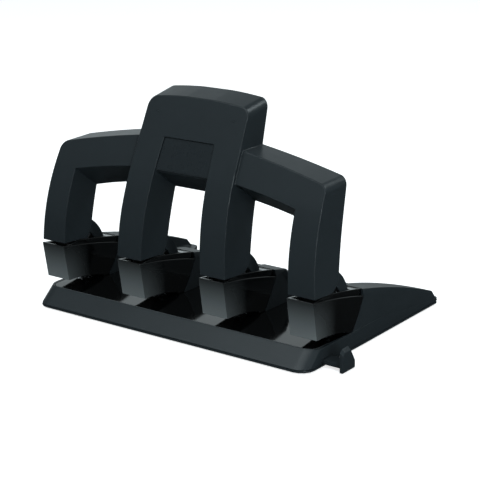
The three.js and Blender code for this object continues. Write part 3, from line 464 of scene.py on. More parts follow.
def screw_tree():
    """Rows of screws with a shank and a thread, which point down.

    The head should be domed, with a cross recess, but the default solver leaves only a strip of it.
    """
    g = Geometry("Screws", Head_radius="Float", Head_height="Float", Core_radius="Float",
                 Thread_radius="Float", Thread_pitch="Float", Length="Float", Columns="Int", Rows="Int",
                 Column_step="Vector", Row_step="Vector", First="Vector", Turn="Vector", Material="Material")
    given = g.given
    height = given["Head_height"]
    core = given["Core_radius"]
    length = given["Length"]
    pitch = given["Thread_pitch"]
    head = g.shape("MeshCylinder", Vertices=LATHE_STEPS, Radius=given["Head_radius"], Depth=height)
    head = g.move(head, g.vector(0.0, 0.0, g.math("DIVIDE", height, 2.0)))
    ball_radius = g.math("MULTIPLY", given["Head_radius"], DOME_SHARE)
    ball = g.shape("MeshUVSphere", Segments=LATHE_STEPS, Rings=LATHE_STEPS, Radius=ball_radius)
    ball = g.move(ball, g.vector(0.0, 0.0, g.math("SUBTRACT", height, ball_radius)))
    head = g.shape("MeshBoolean", Mesh_2=[head, ball], operation="INTERSECT")
    long_side = g.math("MULTIPLY", given["Head_radius"], CROSS_LENGTH_SHARE)
    short_side = g.math("MULTIPLY", given["Head_radius"], CROSS_WIDTH_SHARE)
    lift = g.vector(0.0, 0.0, g.math("MULTIPLY", height, CROSS_LIFT_SHARE))
    bars = [
        g.move(g.shape("MeshCube", Size=g.vector(x, y, height)), lift)
        for x, y in ((long_side, short_side), (short_side, long_side))
    ]
    head = g.shape("MeshBoolean", Mesh_1=head, Mesh_2=bars, operation="DIFFERENCE")
    shank = g.shape("MeshCylinder", Vertices=LATHE_STEPS // 2, Radius=core, Depth=length)
    shank = g.move(shank, g.vector(0.0, 0.0, g.math("DIVIDE", length, -2.0)))
    run = g.math("SUBTRACT", length, g.math("MULTIPLY", pitch, 3.0))
    helix = g.shape("CurveSpiral", Resolution=LATHE_STEPS // 3, Rotations=g.math("DIVIDE", run, pitch),
                    Start_Radius=core, End_Radius=core, Height=run)
    thread_depth = g.math("SUBTRACT", given["Thread_radius"], core)
    crest = g.shape("CurvePrimitiveCircle", Resolution=4, Radius=thread_depth)
    thread = g.shape("CurveToMesh", Curve=helix, Profile_Curve=crest, Fill_Caps=True)
    thread = g.move(thread, g.vector(0.0, 0.0, g.math("SUBTRACT", pitch, length)))
    screw = g.shape("JoinGeometry", Geometry=[head, shank, thread])
    screw = g.move(screw, (0, 0, 0), given["Turn"])
    column = g.row(screw, given["Columns"], (0, 0, 0), given["Column_step"])
    return g.finish(g.row(column, given["Rows"], given["First"], given["Row_step"]))


def rubber_tree():
    """A flat block with grooves across its underside."""
    g = Geometry("Ribbed rubber", Size="Vector", Centre="Vector", Grooves="Int", Groove_width="Float",
                 Groove_depth="Float", Material="Material")
    given = g.given
    wide, deep, tall = g.node("ShaderNodeSeparateXYZ", given["Size"])
    block = g.shape("MeshCube", Size=given["Size"])
    step = g.math("DIVIDE", wide, given["Grooves"])
    cut_deep = g.math("MULTIPLY", deep, 2.0)
    cut_tall = g.math("MULTIPLY", given["Groove_depth"], 2.0)
    cutter = g.shape("MeshCube", Size=g.vector(given["Groove_width"], cut_deep, cut_tall))
    first = g.math("DIVIDE", g.math("SUBTRACT", step, wide), 2.0)
    start = g.vector(first, 0.0, g.math("DIVIDE", tall, -2.0))
    cutters = g.row(cutter, given["Grooves"], start, g.vector(step, 0.0, 0.0))
    cutters = g.shape("RealizeInstances", Geometry=cutters)
    ribbed = g.shape("MeshBoolean", Mesh_1=block, Mesh_2=cutters, operation="DIFFERENCE")
    return g.finish(g.move(ribbed, given["Centre"]))


# Materials

# Painted light on the gloss plastic: the heights, the depths and the side share of the pale colour that
# stands in for light caught low on the shoes' fronts and beside them.
PAINTED_LIGHT_LOW = 0.013
PAINTED_LIGHT_HIGH = 0.056
PAINTED_LIGHT_FRONT = -0.037
PAINTED_LIGHT_REAR = -0.006
SIDE_PAINTED_LIGHT = 0.6
FRONT_FACING = (-0.9, -0.6)
SIDE_FACING = (0.7, 0.95)
PANEL_SMOOTHER = 0.08


def blank_finish(slot):
    """The empty tree of a slot's detailed material."""
    made = bpy.data.materials.new(f"fine_{slot}")
    made.use_nodes = True
    return Nodes(made.node_tree)


def shades(colour, spread_share):
    """Two shades of a colour, a little darker and a little lighter."""
    low = [c * (1 - spread_share) for c in colour[:3]] + [1.0]
    high = [c * (1 + spread_share) for c in colour[:3]] + [1.0]
    return low, high


def moulded(slot, colour, roughness, grain_scale, grain_strength):
    """Black moulded plastic with a fine spark-eroded texture and slow changes of shine."""
    n = blank_finish(slot)
    grain = n.noise(grain_scale, detail=2, roughness=0.6)
    n.shader(
        IOR=1.49,
        Specular_IOR_Level=0.3,
        Base_Color=n.mix(n.noise(scale=45, detail=3), *shades(colour, spread_share=0.08)),
        Roughness=n.ramp(n.noise(scale=160, detail=4), roughness - 0.04, roughness + 0.04),
        Normal=n.bump(grain, grain_strength, distance=0.00006))


def polished(slot, colour, roughness, painted_light):
    """High-gloss black plastic with faint waves, and painted light: a pale colour low on front faces and
    beside them that stands in for the light these faces catch.
    """
    n = blank_finish(slot)
    place = n.node("ShaderNodeSeparateXYZ", n.place())
    facing = n.node("ShaderNodeSeparateXYZ", n.node("ShaderNodeTexCoord")["Normal"])
    # Painted light: the pale colour's share, strongest low down on faces that look forward and near the
    # front of faces that look sideways.
    height = n.ramp(place["Z"], 1, 0, PAINTED_LIGHT_LOW, PAINTED_LIGHT_HIGH)
    front = n.ramp(facing["Y"], 1, 0, *FRONT_FACING)
    near = n.ramp(place["Y"], SIDE_PAINTED_LIGHT, 0, PAINTED_LIGHT_FRONT, PAINTED_LIGHT_REAR)
    side = n.math("MULTIPLY", near, n.ramp(n.math("ABSOLUTE", facing["X"]), 0, 1, *SIDE_FACING))
    share = n.math("MULTIPLY", height, n.math("MAXIMUM", front, side))
    black = n.mix(n.noise(scale=60, detail=2), *shades(colour, spread_share=0.1))
    n.shader(
        IOR=1.52,
        Specular_IOR_Level=0.45,
        Base_Color=n.mix(share, black, painted_light),
        Roughness=n.ramp(n.noise(scale=220, detail=5), roughness - 0.015, roughness + 0.03),
        Normal=n.bump(n.noise(scale=38, detail=1), strength=0.12, distance=0.0004))


def plated(slot, colour, roughness, streaks):
    """Plated or ground steel with fine drawn lines."""
    n = blank_finish(slot)
    stretched = n.add("ShaderNodeMapping", Vector=n.place(), Scale=streaks)
    lines = n.noise(scale=220, detail=3, roughness=0.6, place=stretched)
    n.shader(
        Metallic=1.0,
        Base_Color=n.mix(lines, *shades(colour, spread_share=0.12)),
        Roughness=n.ramp(lines, roughness - 0.08, roughness + 0.1),
        Normal=n.bump(lines, strength=0.15, distance=0.00005))


def rubbery(slot, colour, roughness):
    """Matt rubber with a dusty, uneven face."""
    n = blank_finish(slot)
    n.shader(
        IOR=1.5,
        Base_Color=n.mix(n.noise(scale=300, detail=4), *shades(colour, spread_share=0.25)),
        Roughness=n.ramp(n.noise(scale=120, detail=3), roughness - 0.08, roughness + 0.05),
        Normal=n.bump(n.noise(scale=1500, detail=2), strength=0.5, distance=0.0001))


# Sizes and colours that a user would change

def length(name, default, description):
    return bpy.props.FloatProperty(
        name=name, description=description, default=default, min=0, unit="LENGTH", precision=5)


def colour(name, default, description):
    return bpy.props.FloatVectorProperty(
        name=name, description=description, default=default, min=0, max=1, size=4, subtype="COLOR")


def share_of_one(name, default, description):
    return bpy.props.FloatProperty(
        name=name, description=description, default=default, min=0, max=1, subtype="FACTOR")


class PunchSettings(bpy.types.PropertyGroup):
    """Finishes and edge radii of the punch"""

    matt_colour: colour("Matt plastic", (0.0175, 0.0225, 0.0260, 1), "Colour of the handle and the base")
    panel_colour: colour("Panel", (0.0145, 0.0185, 0.0215, 1), "Colour of the recessed panel")
    gloss_colour: colour("Gloss plastic", (0.0012, 0.0014, 0.0016, 1), "Colour of the shoes and floor plate")
    # Painted light: a pale colour put low on the shoes' fronts and beside them in place of the light they
    # catch.
    painted_light_colour: colour("Painted light", (0.200, 0.215, 0.220, 1), "Pale haze low on the shoes' fronts")
    steel_colour: colour("Steel", (0.56, 0.57, 0.58, 1), "Colour of the plated steel")
    tool_colour: colour("Tool steel", (0.42, 0.43, 0.45, 1), "Colour of the pins and dies")
    rubber_colour: colour("Rubber", (0.022, 0.022, 0.022, 1), "Colour of the strip and the pads")
    matt_roughness: share_of_one("Matt roughness", 0.36, "Roughness of the textured plastic")
    gloss_roughness: share_of_one("Gloss roughness", 0.07, "Roughness of the polished plastic")
    shoe_edge: length("Shoe edge", 0.0004, "Radius of the shoes' edges")
    shoe_lip: length("Shoe lip", 0.0016, "Radius of the shoes' upper side edges")
    core_edge: length("Core edge", 0.0007, "Radius of the edges of the cores and heel covers")
    base_edge: length("Base edge", 0.0005, "Radius of the base's edges")
    handle_edge: length("Handle edge", 0.0007, "Radius of the handle's edges")
    steel_edge: length("Steel edge", 0.0002, "Broken edge of the steel parts")


# Camera, floor and light

CAMERA_AZIMUTH = 36.222
CAMERA_ELEVATION = 16.590
CAMERA_ROLL = -0.159
CAMERA_PLACE = Vector((0.6540, -0.8372, 0.3843))
FOCAL_PIXELS = 1426.3
PICTURE_PIXELS = 480
SENSOR = 36
CLIP_NEAR = 0.05
CLIP_FAR = 50
WHITE = (1, 1, 1, 1)
FLOOR_SIZE = 16
FLOOR_PLACE = (0, 4, -0.0002)
FLOOR_COLOUR = (0.85, 0.85, 0.85, 1)
FLOOR_IN_GLOSS = (0.05, 0.05, 0.05, 1)
FLOOR_GLOW = 0.72
LIGHT_BEHIND = 0.95
LIGHT_FRONT = 0.17
BEHIND_FROM = 0.4
LIGHT_COLOUR = (0.86, 0.97, 1.0)

# Each lamp's name, place, the height of its target, its width and length, and its power in watts
LAMPS = (
    ("Edge light", (1.5, -0.9, 0.65), 0.08, (0.2, 1.2), 13),
    ("Corner light", (0.9, 1.1, 1.5), 0.1, (0.6, 0.6), 9),
    ("Top light", (-0.4, -0.9, 1.8), 0.1, (1.6, 1.2), 19),
)


def camera_axes():
    a, e, r = (math.radians(x) for x in (CAMERA_AZIMUTH, CAMERA_ELEVATION, CAMERA_ROLL))
    back = Vector((math.sin(a) * math.cos(e), -math.cos(a) * math.cos(e), math.sin(e)))
    level = Vector((math.cos(a), math.sin(a), 0))
    up = back.cross(level)
    right = level * math.cos(r) + up * math.sin(r)
    return right, back.cross(right), back


def add_camera():
    data = bpy.data.cameras.new("Camera")
    data.sensor_width = SENSOR
    data.lens = FOCAL_PIXELS * SENSOR / PICTURE_PIXELS
    data.clip_start = CLIP_NEAR
    data.clip_end = CLIP_FAR
    camera = linked("Camera", data)
    right, up, back = camera_axes()
    camera.matrix_world = Matrix((right, up, back)).transposed().to_4x4()
    camera.location = CAMERA_PLACE
    bpy.context.scene.camera = camera


def add_lamp(name, place, target_height, size, power):
    data = bpy.data.lights.new(name, "AREA")
    data.shape = "RECTANGLE"
    data.size, data.size_y = size
    data.energy = power
    data.color = LIGHT_COLOUR
    lamp = linked(name, data)
    lamp.location = place
    lamp.rotation_mode = "QUATERNION"
    lamp.rotation_quaternion = (Vector((0, 0, target_height)) - Vector(place)).to_track_quat("-Z", "Y")


def studio_world():
    """A world that is white to the camera and lights softly, more from behind the object."""
    world = bpy.data.worlds.new("Studio")
    world.use_nodes = True
    bpy.context.scene.world = world
    n = Nodes(world.node_tree)
    direction = n.node("ShaderNodeTexCoord")["Generated"]
    ahead = -camera_axes()[2]
    behind = n.node("ShaderNodeVectorMath", direction, ahead, operation="DOT_PRODUCT")["Value"]
    strength = n.ramp(behind, LIGHT_FRONT, LIGHT_BEHIND, BEHIND_FROM, 1, interpolation_type="SMOOTHSTEP")
    for kind in ("Transmission", "Camera"):
        strength = n.add("ShaderNodeMix", n.ray(kind), None, strength, 1.0)
    tint = n.mix(n.ray("Camera"), LIGHT_COLOUR + (1,), WHITE)
    n.node("ShaderNodeOutputWorld", n.add("ShaderNodeBackground", tint, strength))


def add_floor():
    """A pale matt floor that the camera sees as white, with the object's shadow kept."""
    n = blank_finish("studio_floor")
    n.shader(
        Roughness=0.9,
        Specular_IOR_Level=0.0,
        Base_Color=n.mix(n.ray("Glossy"), FLOOR_COLOUR, FLOOR_IN_GLOSS),
        Emission_Color=WHITE,
        Emission_Strength=n.math("MULTIPLY", n.ray("Camera"), FLOOR_GLOW))
    bpy.ops.mesh.primitive_plane_add(size=FLOOR_SIZE, location=FLOOR_PLACE)
    floor = bpy.context.object
    floor.name = "studio_floor"
    floor.data.materials.append(material("studio_floor"))


# Shape of the handle, in millimetres
# Y goes rearwards from the front of the legs' feet, which stand before the line of the pins

PIN_LINE_Y = 35
HOLE_PITCH = 80
LEG_FRONT_Z = 54.4
LEG_TOE_Y = 20
LEG_HEEL_Y = 33.4
LEG_HEEL_Z = 67
ARCH_FOOT_OUTER = HOLE_PITCH / 2 + 12.6
ARCH_FOOT_INNER = HOLE_PITCH / 2 - 11.3
BOW_FOOT_OUTER = HOLE_PITCH * 3 / 2 + 12
BOW_FOOT_INNER = HOLE_PITCH * 3 / 2 - 11.5
LEG_LEAN = 0.048
BOW_LEAN = 0.06
ARCH_LEAN_FRONT = 0.05
ARCH_LEAN_GAIN = 0.056
ARCH_FRONT_RADIUS = 178
ARCH_FRONT_ANGLE = 25
BOW_FRONT_RADIUS = 150
BOW_FRONT_ANGLE = 26.5
REAR_RADIUS = 330
REAR_LOW_ANGLE = 8.5
REAR_HIGH_ANGLE = 15.3
ARCH_TOP_Z = 179.1
ARCH_TOP_Y = 39.7
ARCH_TOP_TILT = 0.195
ARCH_TOP_RADIUS = 400
ARCH_FLAT_HALF = 13.2
ARCH_CORNER = 8
BOW_TOP_Z = ARCH_TOP_Z - 31.2
BOW_FLAT_HALF = 38
BOW_TOP_SLOPE = 0.12
BOW_TOP_RADIUS = 900
BOW_TOP_TILT = 0.04
BOW_TOP_Y = 25
BOW_CORNER = 8
BOW_CORNER_ANGLE = 77
WINDOW_INNER_Z = BOW_TOP_Z - 23.3
WINDOW_OUTER_Z = BOW_TOP_Z - 35.1
WINDOW_BULGE = 0.85
SOFFIT_Y = 15.5
SOFFIT_SLOPE = 0.71
PANEL_TOP_Z = ARCH_TOP_Z - 30.4
MIDDLE_WINDOW_Z = PANEL_TOP_Z - 24.3
PANEL_RECESS = 1.4
PANEL_THICKNESS = 1.6
PANEL_CORNER = 1.5
GAP = 0.3
FRONT_WALL = 2.4
SIDE_WALL = 1.9
COVER_THICKNESS = 2.8
ARM_INSET = 7
COVER_POST_RADIUS = 3.4
ARM_POST_RADIUS = 3
BOSS_SHORT = 4 * GAP
SCREW_HOLE_RADIUS = 1.8
COUNTERBORE_RADIUS = 3.1
COUNTERBORE_DEPTH = 1.5
COVER_FOOT_ANGLE = -22.5
HANDLE_SHARP = 28
ROUND_STEPS = 10
CORNER_STEPS = 4
CURVE_STEPS = 20
DEPTH_STEPS = 8
BEYOND = 40
HANDLE_BOTTOM = LEG_FRONT_Z - BEYOND / 2
HANDLE_WIDE = BOW_FOOT_OUTER + BEYOND
DEPTH_REACH = 80


def rise_of_arc(radius, low, high):
    """Height that a curve of this radius gains while it leans over from one angle to the other."""
    return radius * (math.sin(math.radians(high)) - math.sin(math.radians(low)))


ARCH_BEND_Z = LEG_FRONT_Z + rise_of_arc(ARCH_FRONT_RADIUS, 0, ARCH_FRONT_ANGLE)
BOW_BEND_Z = LEG_FRONT_Z + rise_of_arc(BOW_FRONT_RADIUS, 0, BOW_FRONT_ANGLE)
REAR_BEND_Z = LEG_HEEL_Z + rise_of_arc(REAR_RADIUS, REAR_LOW_ANGLE, REAR_HIGH_ANGLE)


def front_y(z, radius, lean, top):
    """Front of the handle: upright at the foot, curving back, then straight."""
    rise = min(max(z - LEG_FRONT_Z, 0), top - LEG_FRONT_Z)
    return radius - math.sqrt(radius ** 2 - rise ** 2) + max(z - top, 0) * math.tan(math.radians(lean))


def arch_front(z):
    return front_y(z, ARCH_FRONT_RADIUS, ARCH_FRONT_ANGLE, ARCH_BEND_Z)


def bow_front(z):
    return front_y(z, BOW_FRONT_RADIUS, BOW_FRONT_ANGLE, BOW_BEND_Z)


def rear_y(z):
    """Rear of the handle: leaning back on a long curve, then straight."""
    low, high = math.radians(REAR_LOW_ANGLE), math.radians(REAR_HIGH_ANGLE)
    sine = math.sin(low) + (min(z, REAR_BEND_Z) - LEG_HEEL_Z) / REAR_RADIUS
    bend = REAR_RADIUS * (math.cos(low) - math.sqrt(1 - sine ** 2))
    return LEG_HEEL_Y + bend + max(z - REAR_BEND_Z, 0) * math.tan(high)


def leg_x(foot, z, lean):
    return foot - lean * (z - LEG_FRONT_Z)


def arch_lean(y):
    return ARCH_LEAN_FRONT - ARCH_LEAN_GAIN * y / ARCH_TOP_Z


def arch_top(x, y):
    out = max(abs(x), ARCH_FLAT_HALF)
    return ARCH_TOP_Z + ARCH_TOP_TILT * (y - ARCH_TOP_Y) - out ** 2 / (2 * ARCH_TOP_RADIUS)


def bow_top(x, y):
    out = max(abs(x) - BOW_FLAT_HALF, 0)
    level = BOW_TOP_Z + BOW_TOP_TILT * (y - BOW_TOP_Y)
    return level - BOW_TOP_SLOPE * out - out ** 2 / (2 * BOW_TOP_RADIUS)


def both_sides(right, y):
    """A ring in the plane of one depth, from its right half."""
    left = [(-x, z) for x, z in reversed(right)]
    return [(x, y, z) for x, z in right + left]


def arch_ring(y, inset):
    corner = ARCH_CORNER - inset
    lean = arch_lean(y)
    edge = leg_x(ARCH_FOOT_OUTER, arch_top(ARCH_FOOT_OUTER, y), lean) - inset
    meet = edge - corner
    right = [(leg_x(ARCH_FOOT_OUTER, HANDLE_BOTTOM, lean) - inset, HANDLE_BOTTOM)]
    right += arc(meet, arch_top(meet, y) - inset - corner, corner, 0, 90, ROUND_STEPS)
    right += [(x, arch_top(x, y) - inset) for x in spread(meet, 0, CURVE_STEPS)[1:-1]]
    return both_sides(right, y)


def bow_ring(y, inset):
    corner = BOW_CORNER - inset
    edge = leg_x(BOW_FOOT_OUTER, bow_top(BOW_FOOT_OUTER, y), BOW_LEAN) - inset
    meet = edge - corner + corner * math.cos(math.radians(BOW_CORNER_ANGLE))
    corner_z = bow_top(meet, y) - inset - corner * math.sin(math.radians(BOW_CORNER_ANGLE))
    right = [(leg_x(BOW_FOOT_OUTER, HANDLE_BOTTOM, BOW_LEAN) - inset, HANDLE_BOTTOM)]
    right += arc(edge - corner, corner_z, corner, 0, BOW_CORNER_ANGLE, ROUND_STEPS)
    right += [(x, bow_top(x, y) - inset) for x in spread(meet, BOW_FLAT_HALF, CURVE_STEPS)[1:]]
    return both_sides(right, y)


def outer_window_ring(y, grow, side):
    rise = grow * math.hypot(1, SOFFIT_SLOPE) - SOFFIT_SLOPE * (y - SOFFIT_Y)
    inner_z, outer_z = WINDOW_INNER_Z + rise, WINDOW_OUTER_Z + rise
    bottom = HANDLE_BOTTOM - GAP
    inner = [leg_x(ARCH_FOOT_OUTER, z, arch_lean(y)) - grow for z in (bottom, inner_z)]
    outer = [leg_x(BOW_FOOT_INNER, z, LEG_LEAN) + grow for z in (bottom, outer_z)]
    points = [(inner[0], bottom), (outer[0], bottom)]
    for share in spread(1, 0, ROUND_STEPS):
        bulge = 4 * WINDOW_BULGE * share * (1 - share)
        points.append((lerp(inner[1], outer[1], share), lerp(inner_z, outer_z, share) + bulge))
    return [(side * x, y, z) for x, z in points]


def middle_ring(y, grow, top, corner=0):
    """The space between the middle legs, with its top corners rounded."""
    x = leg_x(ARCH_FOOT_INNER, top, LEG_LEAN) + grow
    right = [(leg_x(ARCH_FOOT_INNER, HANDLE_BOTTOM, LEG_LEAN) + grow, HANDLE_BOTTOM)]
    right += arc(x - corner, top - corner, corner, 0, 90, CORNER_STEPS) if corner else [(x, top)]
    return both_sides(right, y)


def through(name, ring):
    """A body along Y through the whole depth of the handle."""
    return loft(name, [ring(y) for y in spread(-BEYOND, DEPTH_REACH, DEPTH_STEPS * 2)])


def windows(grow):
    def middle_top(y):
        return MIDDLE_WINDOW_Z + grow * math.hypot(1, SOFFIT_SLOPE) - SOFFIT_SLOPE * (y - SOFFIT_Y)

    return [
        through("window_right", lambda y: outer_window_ring(y, grow, 1)),
        through("window_left", lambda y: outer_window_ring(y, grow, -1)),
        through("window_middle", lambda y: middle_ring(y, grow, middle_top(y))),
    ]


def side_profile(front, bend_z, inset, is_open):
    """Side view of the handle between its front and rear curves."""
    top = ARCH_TOP_Z + BEYOND
    line = [(front(z) + inset, z) for z in spread(LEG_FRONT_Z, bend_z, CURVE_STEPS) + [top]]
    if is_open:
        low = HANDLE_BOTTOM - BEYOND
        return [(inset, low)] + line + [(DEPTH_REACH, top), (DEPTH_REACH, low)]
    rear = [(rear_y(z), z) for z in [top] + spread(REAR_BEND_Z, LEG_HEEL_Z, CURVE_STEPS)]
    heel = arc(LEG_TOE_Y, LEG_HEEL_Z, LEG_HEEL_Y - LEG_TOE_Y, 0, -90, ROUND_STEPS)[1:]
    return line + rear + heel


def handle_solid(inset, front_inset, is_open):
    """The arch and the bow between their front and rear, joined to one body."""
    halves = []
    for ring, front, bend in (
        (arch_ring, arch_front, ARCH_BEND_Z),
        (bow_ring, bow_front, BOW_BEND_Z),
    ):
        body = through("body", lambda y: ring(y, inset))
        outline = side_profile(front, bend, front_inset, is_open)
        halves.append(boolean(body, "INTERSECT", prism_x("profile", outline, -HANDLE_WIDE, HANDLE_WIDE)))
    return boolean(halves[0], "UNION", halves[1])


def panel_band(start, end, bottom):
    zs = spread(bottom, ARCH_TOP_Z, CURVE_STEPS)
    front = [(arch_front(z) + start, z) for z in zs]
    back = [(arch_front(z) + end, z) for z in reversed(zs)]
    return prism_x("band", front + back, -HANDLE_WIDE, HANDLE_WIDE)


def recess(grow, start, end, bottom):
    space = through("recess", lambda y: middle_ring(y, grow, PANEL_TOP_Z + grow, PANEL_CORNER + grow))
    return boolean(space, "INTERSECT", panel_band(start, end, bottom))


def screw_line(node):
    """X, tip Y and Z of a screw that lies along Y, in the handle's millimetres."""
    centre = middle(node)
    return centre.x / MM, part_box(node)[0].y / MM + PIN_LINE_Y, centre.z / MM


def rods(name, radius, ends):
    """Round bars along Y, each from its own (x, z, first y, last y)."""
    bm = bmesh.new()
    for x, z, y0, y1 in ends:
        turn = Matrix.Rotation(math.radians(90), 4, "X")
        bmesh.ops.create_cone(
            bm, cap_ends=True, segments=LATHE_STEPS // 2, radius1=radius, radius2=radius, depth=y1 - y0,
            matrix=Matrix.Translation((x, (y0 + y1) / 2, z)) @ turn)
    return object_from_bmesh(bm, name)


def add_posts(shell):
    """Posts for the cover's screws and bosses for the arms' screws, each with its hole."""
    cover = [screw_line(f"cover_screw_{i}") for i in (1, 2)]
    arms = [screw_line(f"arm_screw_{i}") for i in TOWERS]
    posts = [
        (x, z, arch_front(z) + FRONT_WALL / 2, rear_y(z - COVER_POST_RADIUS) - COVER_THICKNESS - GAP)
        for x, tip, z in cover
    ]
    bosses = [
        (x, z, (bow_front if abs(x) > HOLE_PITCH else arch_front)(z) + FRONT_WALL / 2,
         arch_front(z) + ARM_INSET - BOSS_SHORT)
        for x, tip, z in arms
    ]
    holes = [(x, z, tip - GAP, DEPTH_REACH) for x, tip, z in cover + arms]
    boolean(shell, "UNION", rods("posts", COVER_POST_RADIUS, posts), rods("bosses", ARM_POST_RADIUS, bosses))
    return boolean(shell, "DIFFERENCE", rods("holes", SCREW_HOLE_RADIUS, holes))


def to_metres(obj):
    """Joins points that the cuts left doubled, and turns the handle's millimetres into metres."""
    with edited(obj.data) as bm:
        bmesh.ops.dissolve_degenerate(bm, edges=bm.edges, dist=DOUBLED)
    obj.data.transform(Matrix.Translation((0, -PIN_LINE_Y * MM, 0)) @ Matrix.Scale(MM, 4))
    return obj


def make_handle_shell(edge):
    seat = PANEL_RECESS + PANEL_THICKNESS + GAP
    shell = handle_solid(0, 0, False)
    shell.name = "handle_moulding"
    boolean(shell, "DIFFERENCE", *windows(0), recess(0, -BEYOND, seat, HANDLE_BOTTOM))
    cleaned(shell, SHORTEST)
    rounded(shell, edge / MM, segments=3, angle=HANDLE_SHARP, smooth=None)
    hollow = handle_solid(SIDE_WALL, FRONT_WALL, True)
    boolean(hollow, "DIFFERENCE", *windows(SIDE_WALL),
            recess(SIDE_WALL, -BEYOND, seat + FRONT_WALL, HANDLE_BOTTOM))
    boolean(shell, "DIFFERENCE", hollow)
    return to_metres(shade(add_posts(shell)))


def make_back_cover(edge):
    inset = SIDE_WALL + GAP
    zs = [ARCH_TOP_Z + BEYOND] + spread(PANEL_TOP_Z, LEG_HEEL_Z, CURVE_STEPS)

    def line(inwards):
        radius = LEG_HEEL_Y - LEG_TOE_Y - inwards
        heel = arc(LEG_TOE_Y, LEG_HEEL_Z, radius, 0, COVER_FOOT_ANGLE, ROUND_STEPS)[1:]
        return [(rear_y(z) - inwards, z) for z in zs] + heel

    outline = line(0) + line(COVER_THICKNESS)[::-1]
    plan = boolean(through("plan", lambda y: arch_ring(y, inset)), "UNION",
                   through("bow", lambda y: bow_ring(y, inset)))
    boolean(plan, "DIFFERENCE", *windows(inset))
    cover = boolean(plan, "INTERSECT", prism_x("cover_band", outline, -HANDLE_WIDE, HANDLE_WIDE))
    cover.name = "handle_rear_moulding"
    cleaned(cover, SHORTEST)
    rounded(cover, edge / MM, segments=2, angle=HANDLE_SHARP, smooth=None)
    screws = [screw_line(f"cover_screw_{i}") for i in (1, 2)]
    seats = [(x, z, rear_y(z) - COUNTERBORE_DEPTH, DEPTH_REACH) for x, tip, z in screws]
    holes = [(x, z, 0, DEPTH_REACH) for x, tip, z in screws]
    boolean(cover, "DIFFERENCE", rods("seats", COUNTERBORE_RADIUS, seats),
            rods("holes", SCREW_HOLE_RADIUS, holes))
    return to_metres(shade(cover))


def make_panel(edge):
    plate = recess(-GAP, PANEL_RECESS, PANEL_RECESS + PANEL_THICKNESS, MIDDLE_WINDOW_Z + GAP)
    plate.name = "front_panel_plate"
    cleaned(plate, SHORTEST)
    rounded(plate, edge / MM, segments=2, angle=HANDLE_SHARP)
    return to_metres(plate)


# Heel covers, in the handle's millimetres

PIVOT_Y = 20
PIVOT_Z = 36.5
HEEL_RADIUS = 34.3
HEEL_INNER = 24.3
HEEL_LOW = 17.5
HEEL_HIGH = 96
SKIRT_LOW = 50
SKIRT_RADIUS = 15
SKIRT_CLEARANCE = 1
HEEL_HALF = 7.1
ARM_HALF = 4.8
ARM_RADIUS = 28.6
HEEL_CUT = 8


def sector(inner, outer, low, high):
    steps = ROUND_STEPS * 2
    return arc(PIVOT_Y, PIVOT_Z, outer, low, high, steps) + arc(PIVOT_Y, PIVOT_Z, inner, high, low, steps)


def make_heel_cover(x, edge):
    """The hump behind a leg: a skin round the pivot with skirts, cut to the leg's rounded foot."""
    def slab(name, outline, half):
        return prism_x(name, outline, x - half, x + half)

    cap = slab("cap", sector(HEEL_INNER, HEEL_RADIUS, HEEL_LOW, HEEL_HIGH), HEEL_HALF)
    skirt = slab("skirt", sector(SKIRT_RADIUS, HEEL_INNER + GAP, SKIRT_LOW, HEEL_HIGH), HEEL_HALF)
    room = slab("room", sector(SKIRT_RADIUS - SKIRT_CLEARANCE, ARM_RADIUS + GAP, HEEL_LOW - HEEL_CUT,
                               HEEL_HIGH + HEEL_CUT), ARM_HALF + GAP)
    foot = LEG_HEEL_Y - LEG_TOE_Y + GAP
    leg = slab("leg", [
        (-BEYOND, LEG_HEEL_Z + BEYOND),
        (-BEYOND, LEG_HEEL_Z - foot),
        *arc(LEG_TOE_Y, LEG_HEEL_Z, foot, -90, 0, ROUND_STEPS),
        (rear_y(LEG_HEEL_Z + BEYOND) + GAP, LEG_HEEL_Z + BEYOND),
    ], HEEL_HALF + GAP)
    boolean(cap, "UNION", skirt)
    boolean(cap, "DIFFERENCE", room, leg)
    cap.name = "heel_hump"
    return to_metres(rounded(cleaned(cap, SHORTEST), edge / MM, segments=2))


# Steel parts, shoes, pins, springs, screws and rubber, in millimetres

ARM_AND_FRAME = ("punch_frame", "lever_arm")
LIP_FROM = 0.6
LIP_SHORTEST = 4
PIN_RADIUS = 2.75
PIN_HEAD_THICKNESS = 1.9
TIP_HOLLOW = 0.9
TIP_STEPS = 6
PIVOT_CHAMFER = 0.3
DIE_CHAMFER = 0.25
DIE_BORE = PIN_RADIUS + GAP
WIRE_RADIUS = 0.35
SPRING_TURNS = 3
SCREW_HEAD_RADIUS = 2.8
SCREW_HEAD_HEIGHT = 1.2
SCREW_CORE_RADIUS = 1.15
SCREW_THREAD_RADIUS = 1.5
SCREW_PITCH = 1
GROOVE_PITCH = 2
GROOVE_WIDTH = 0.8
GROOVE_DEPTH = 0.4


def turned_node(node, profile, axis="Z"):
    """A turned piece in the place of a CAD node; its profile's heights count from the node's middle."""
    scaled = [(radius * MM, height * MM) for radius, height in profile]
    made = shade(turned(f"{node}_turned", scaled, middle(node), axis))
    return finish_piece(made, node)


def half_size(node):
    low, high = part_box(node)
    return (high - low) / 2 / MM


def chamfered(radius, low, high, cut):
    """Outline of a rim with both its edges broken."""
    return [(radius - cut, low), (radius, low + cut), (radius, high - cut), (radius - cut, high)]


def punch_pin(node):
    half = half_size(node)
    under = half.z - PIN_HEAD_THICKNESS
    tip = [(PIN_RADIUS * t, TIP_HOLLOW * (1 - t * t) - half.z) for t in spread(0, 1, TIP_STEPS)]
    head = chamfered(half.x, under, half.z, PIVOT_CHAMFER)
    return turned_node(node, [*tip, (PIN_RADIUS, under), *head, (0, half.z)])


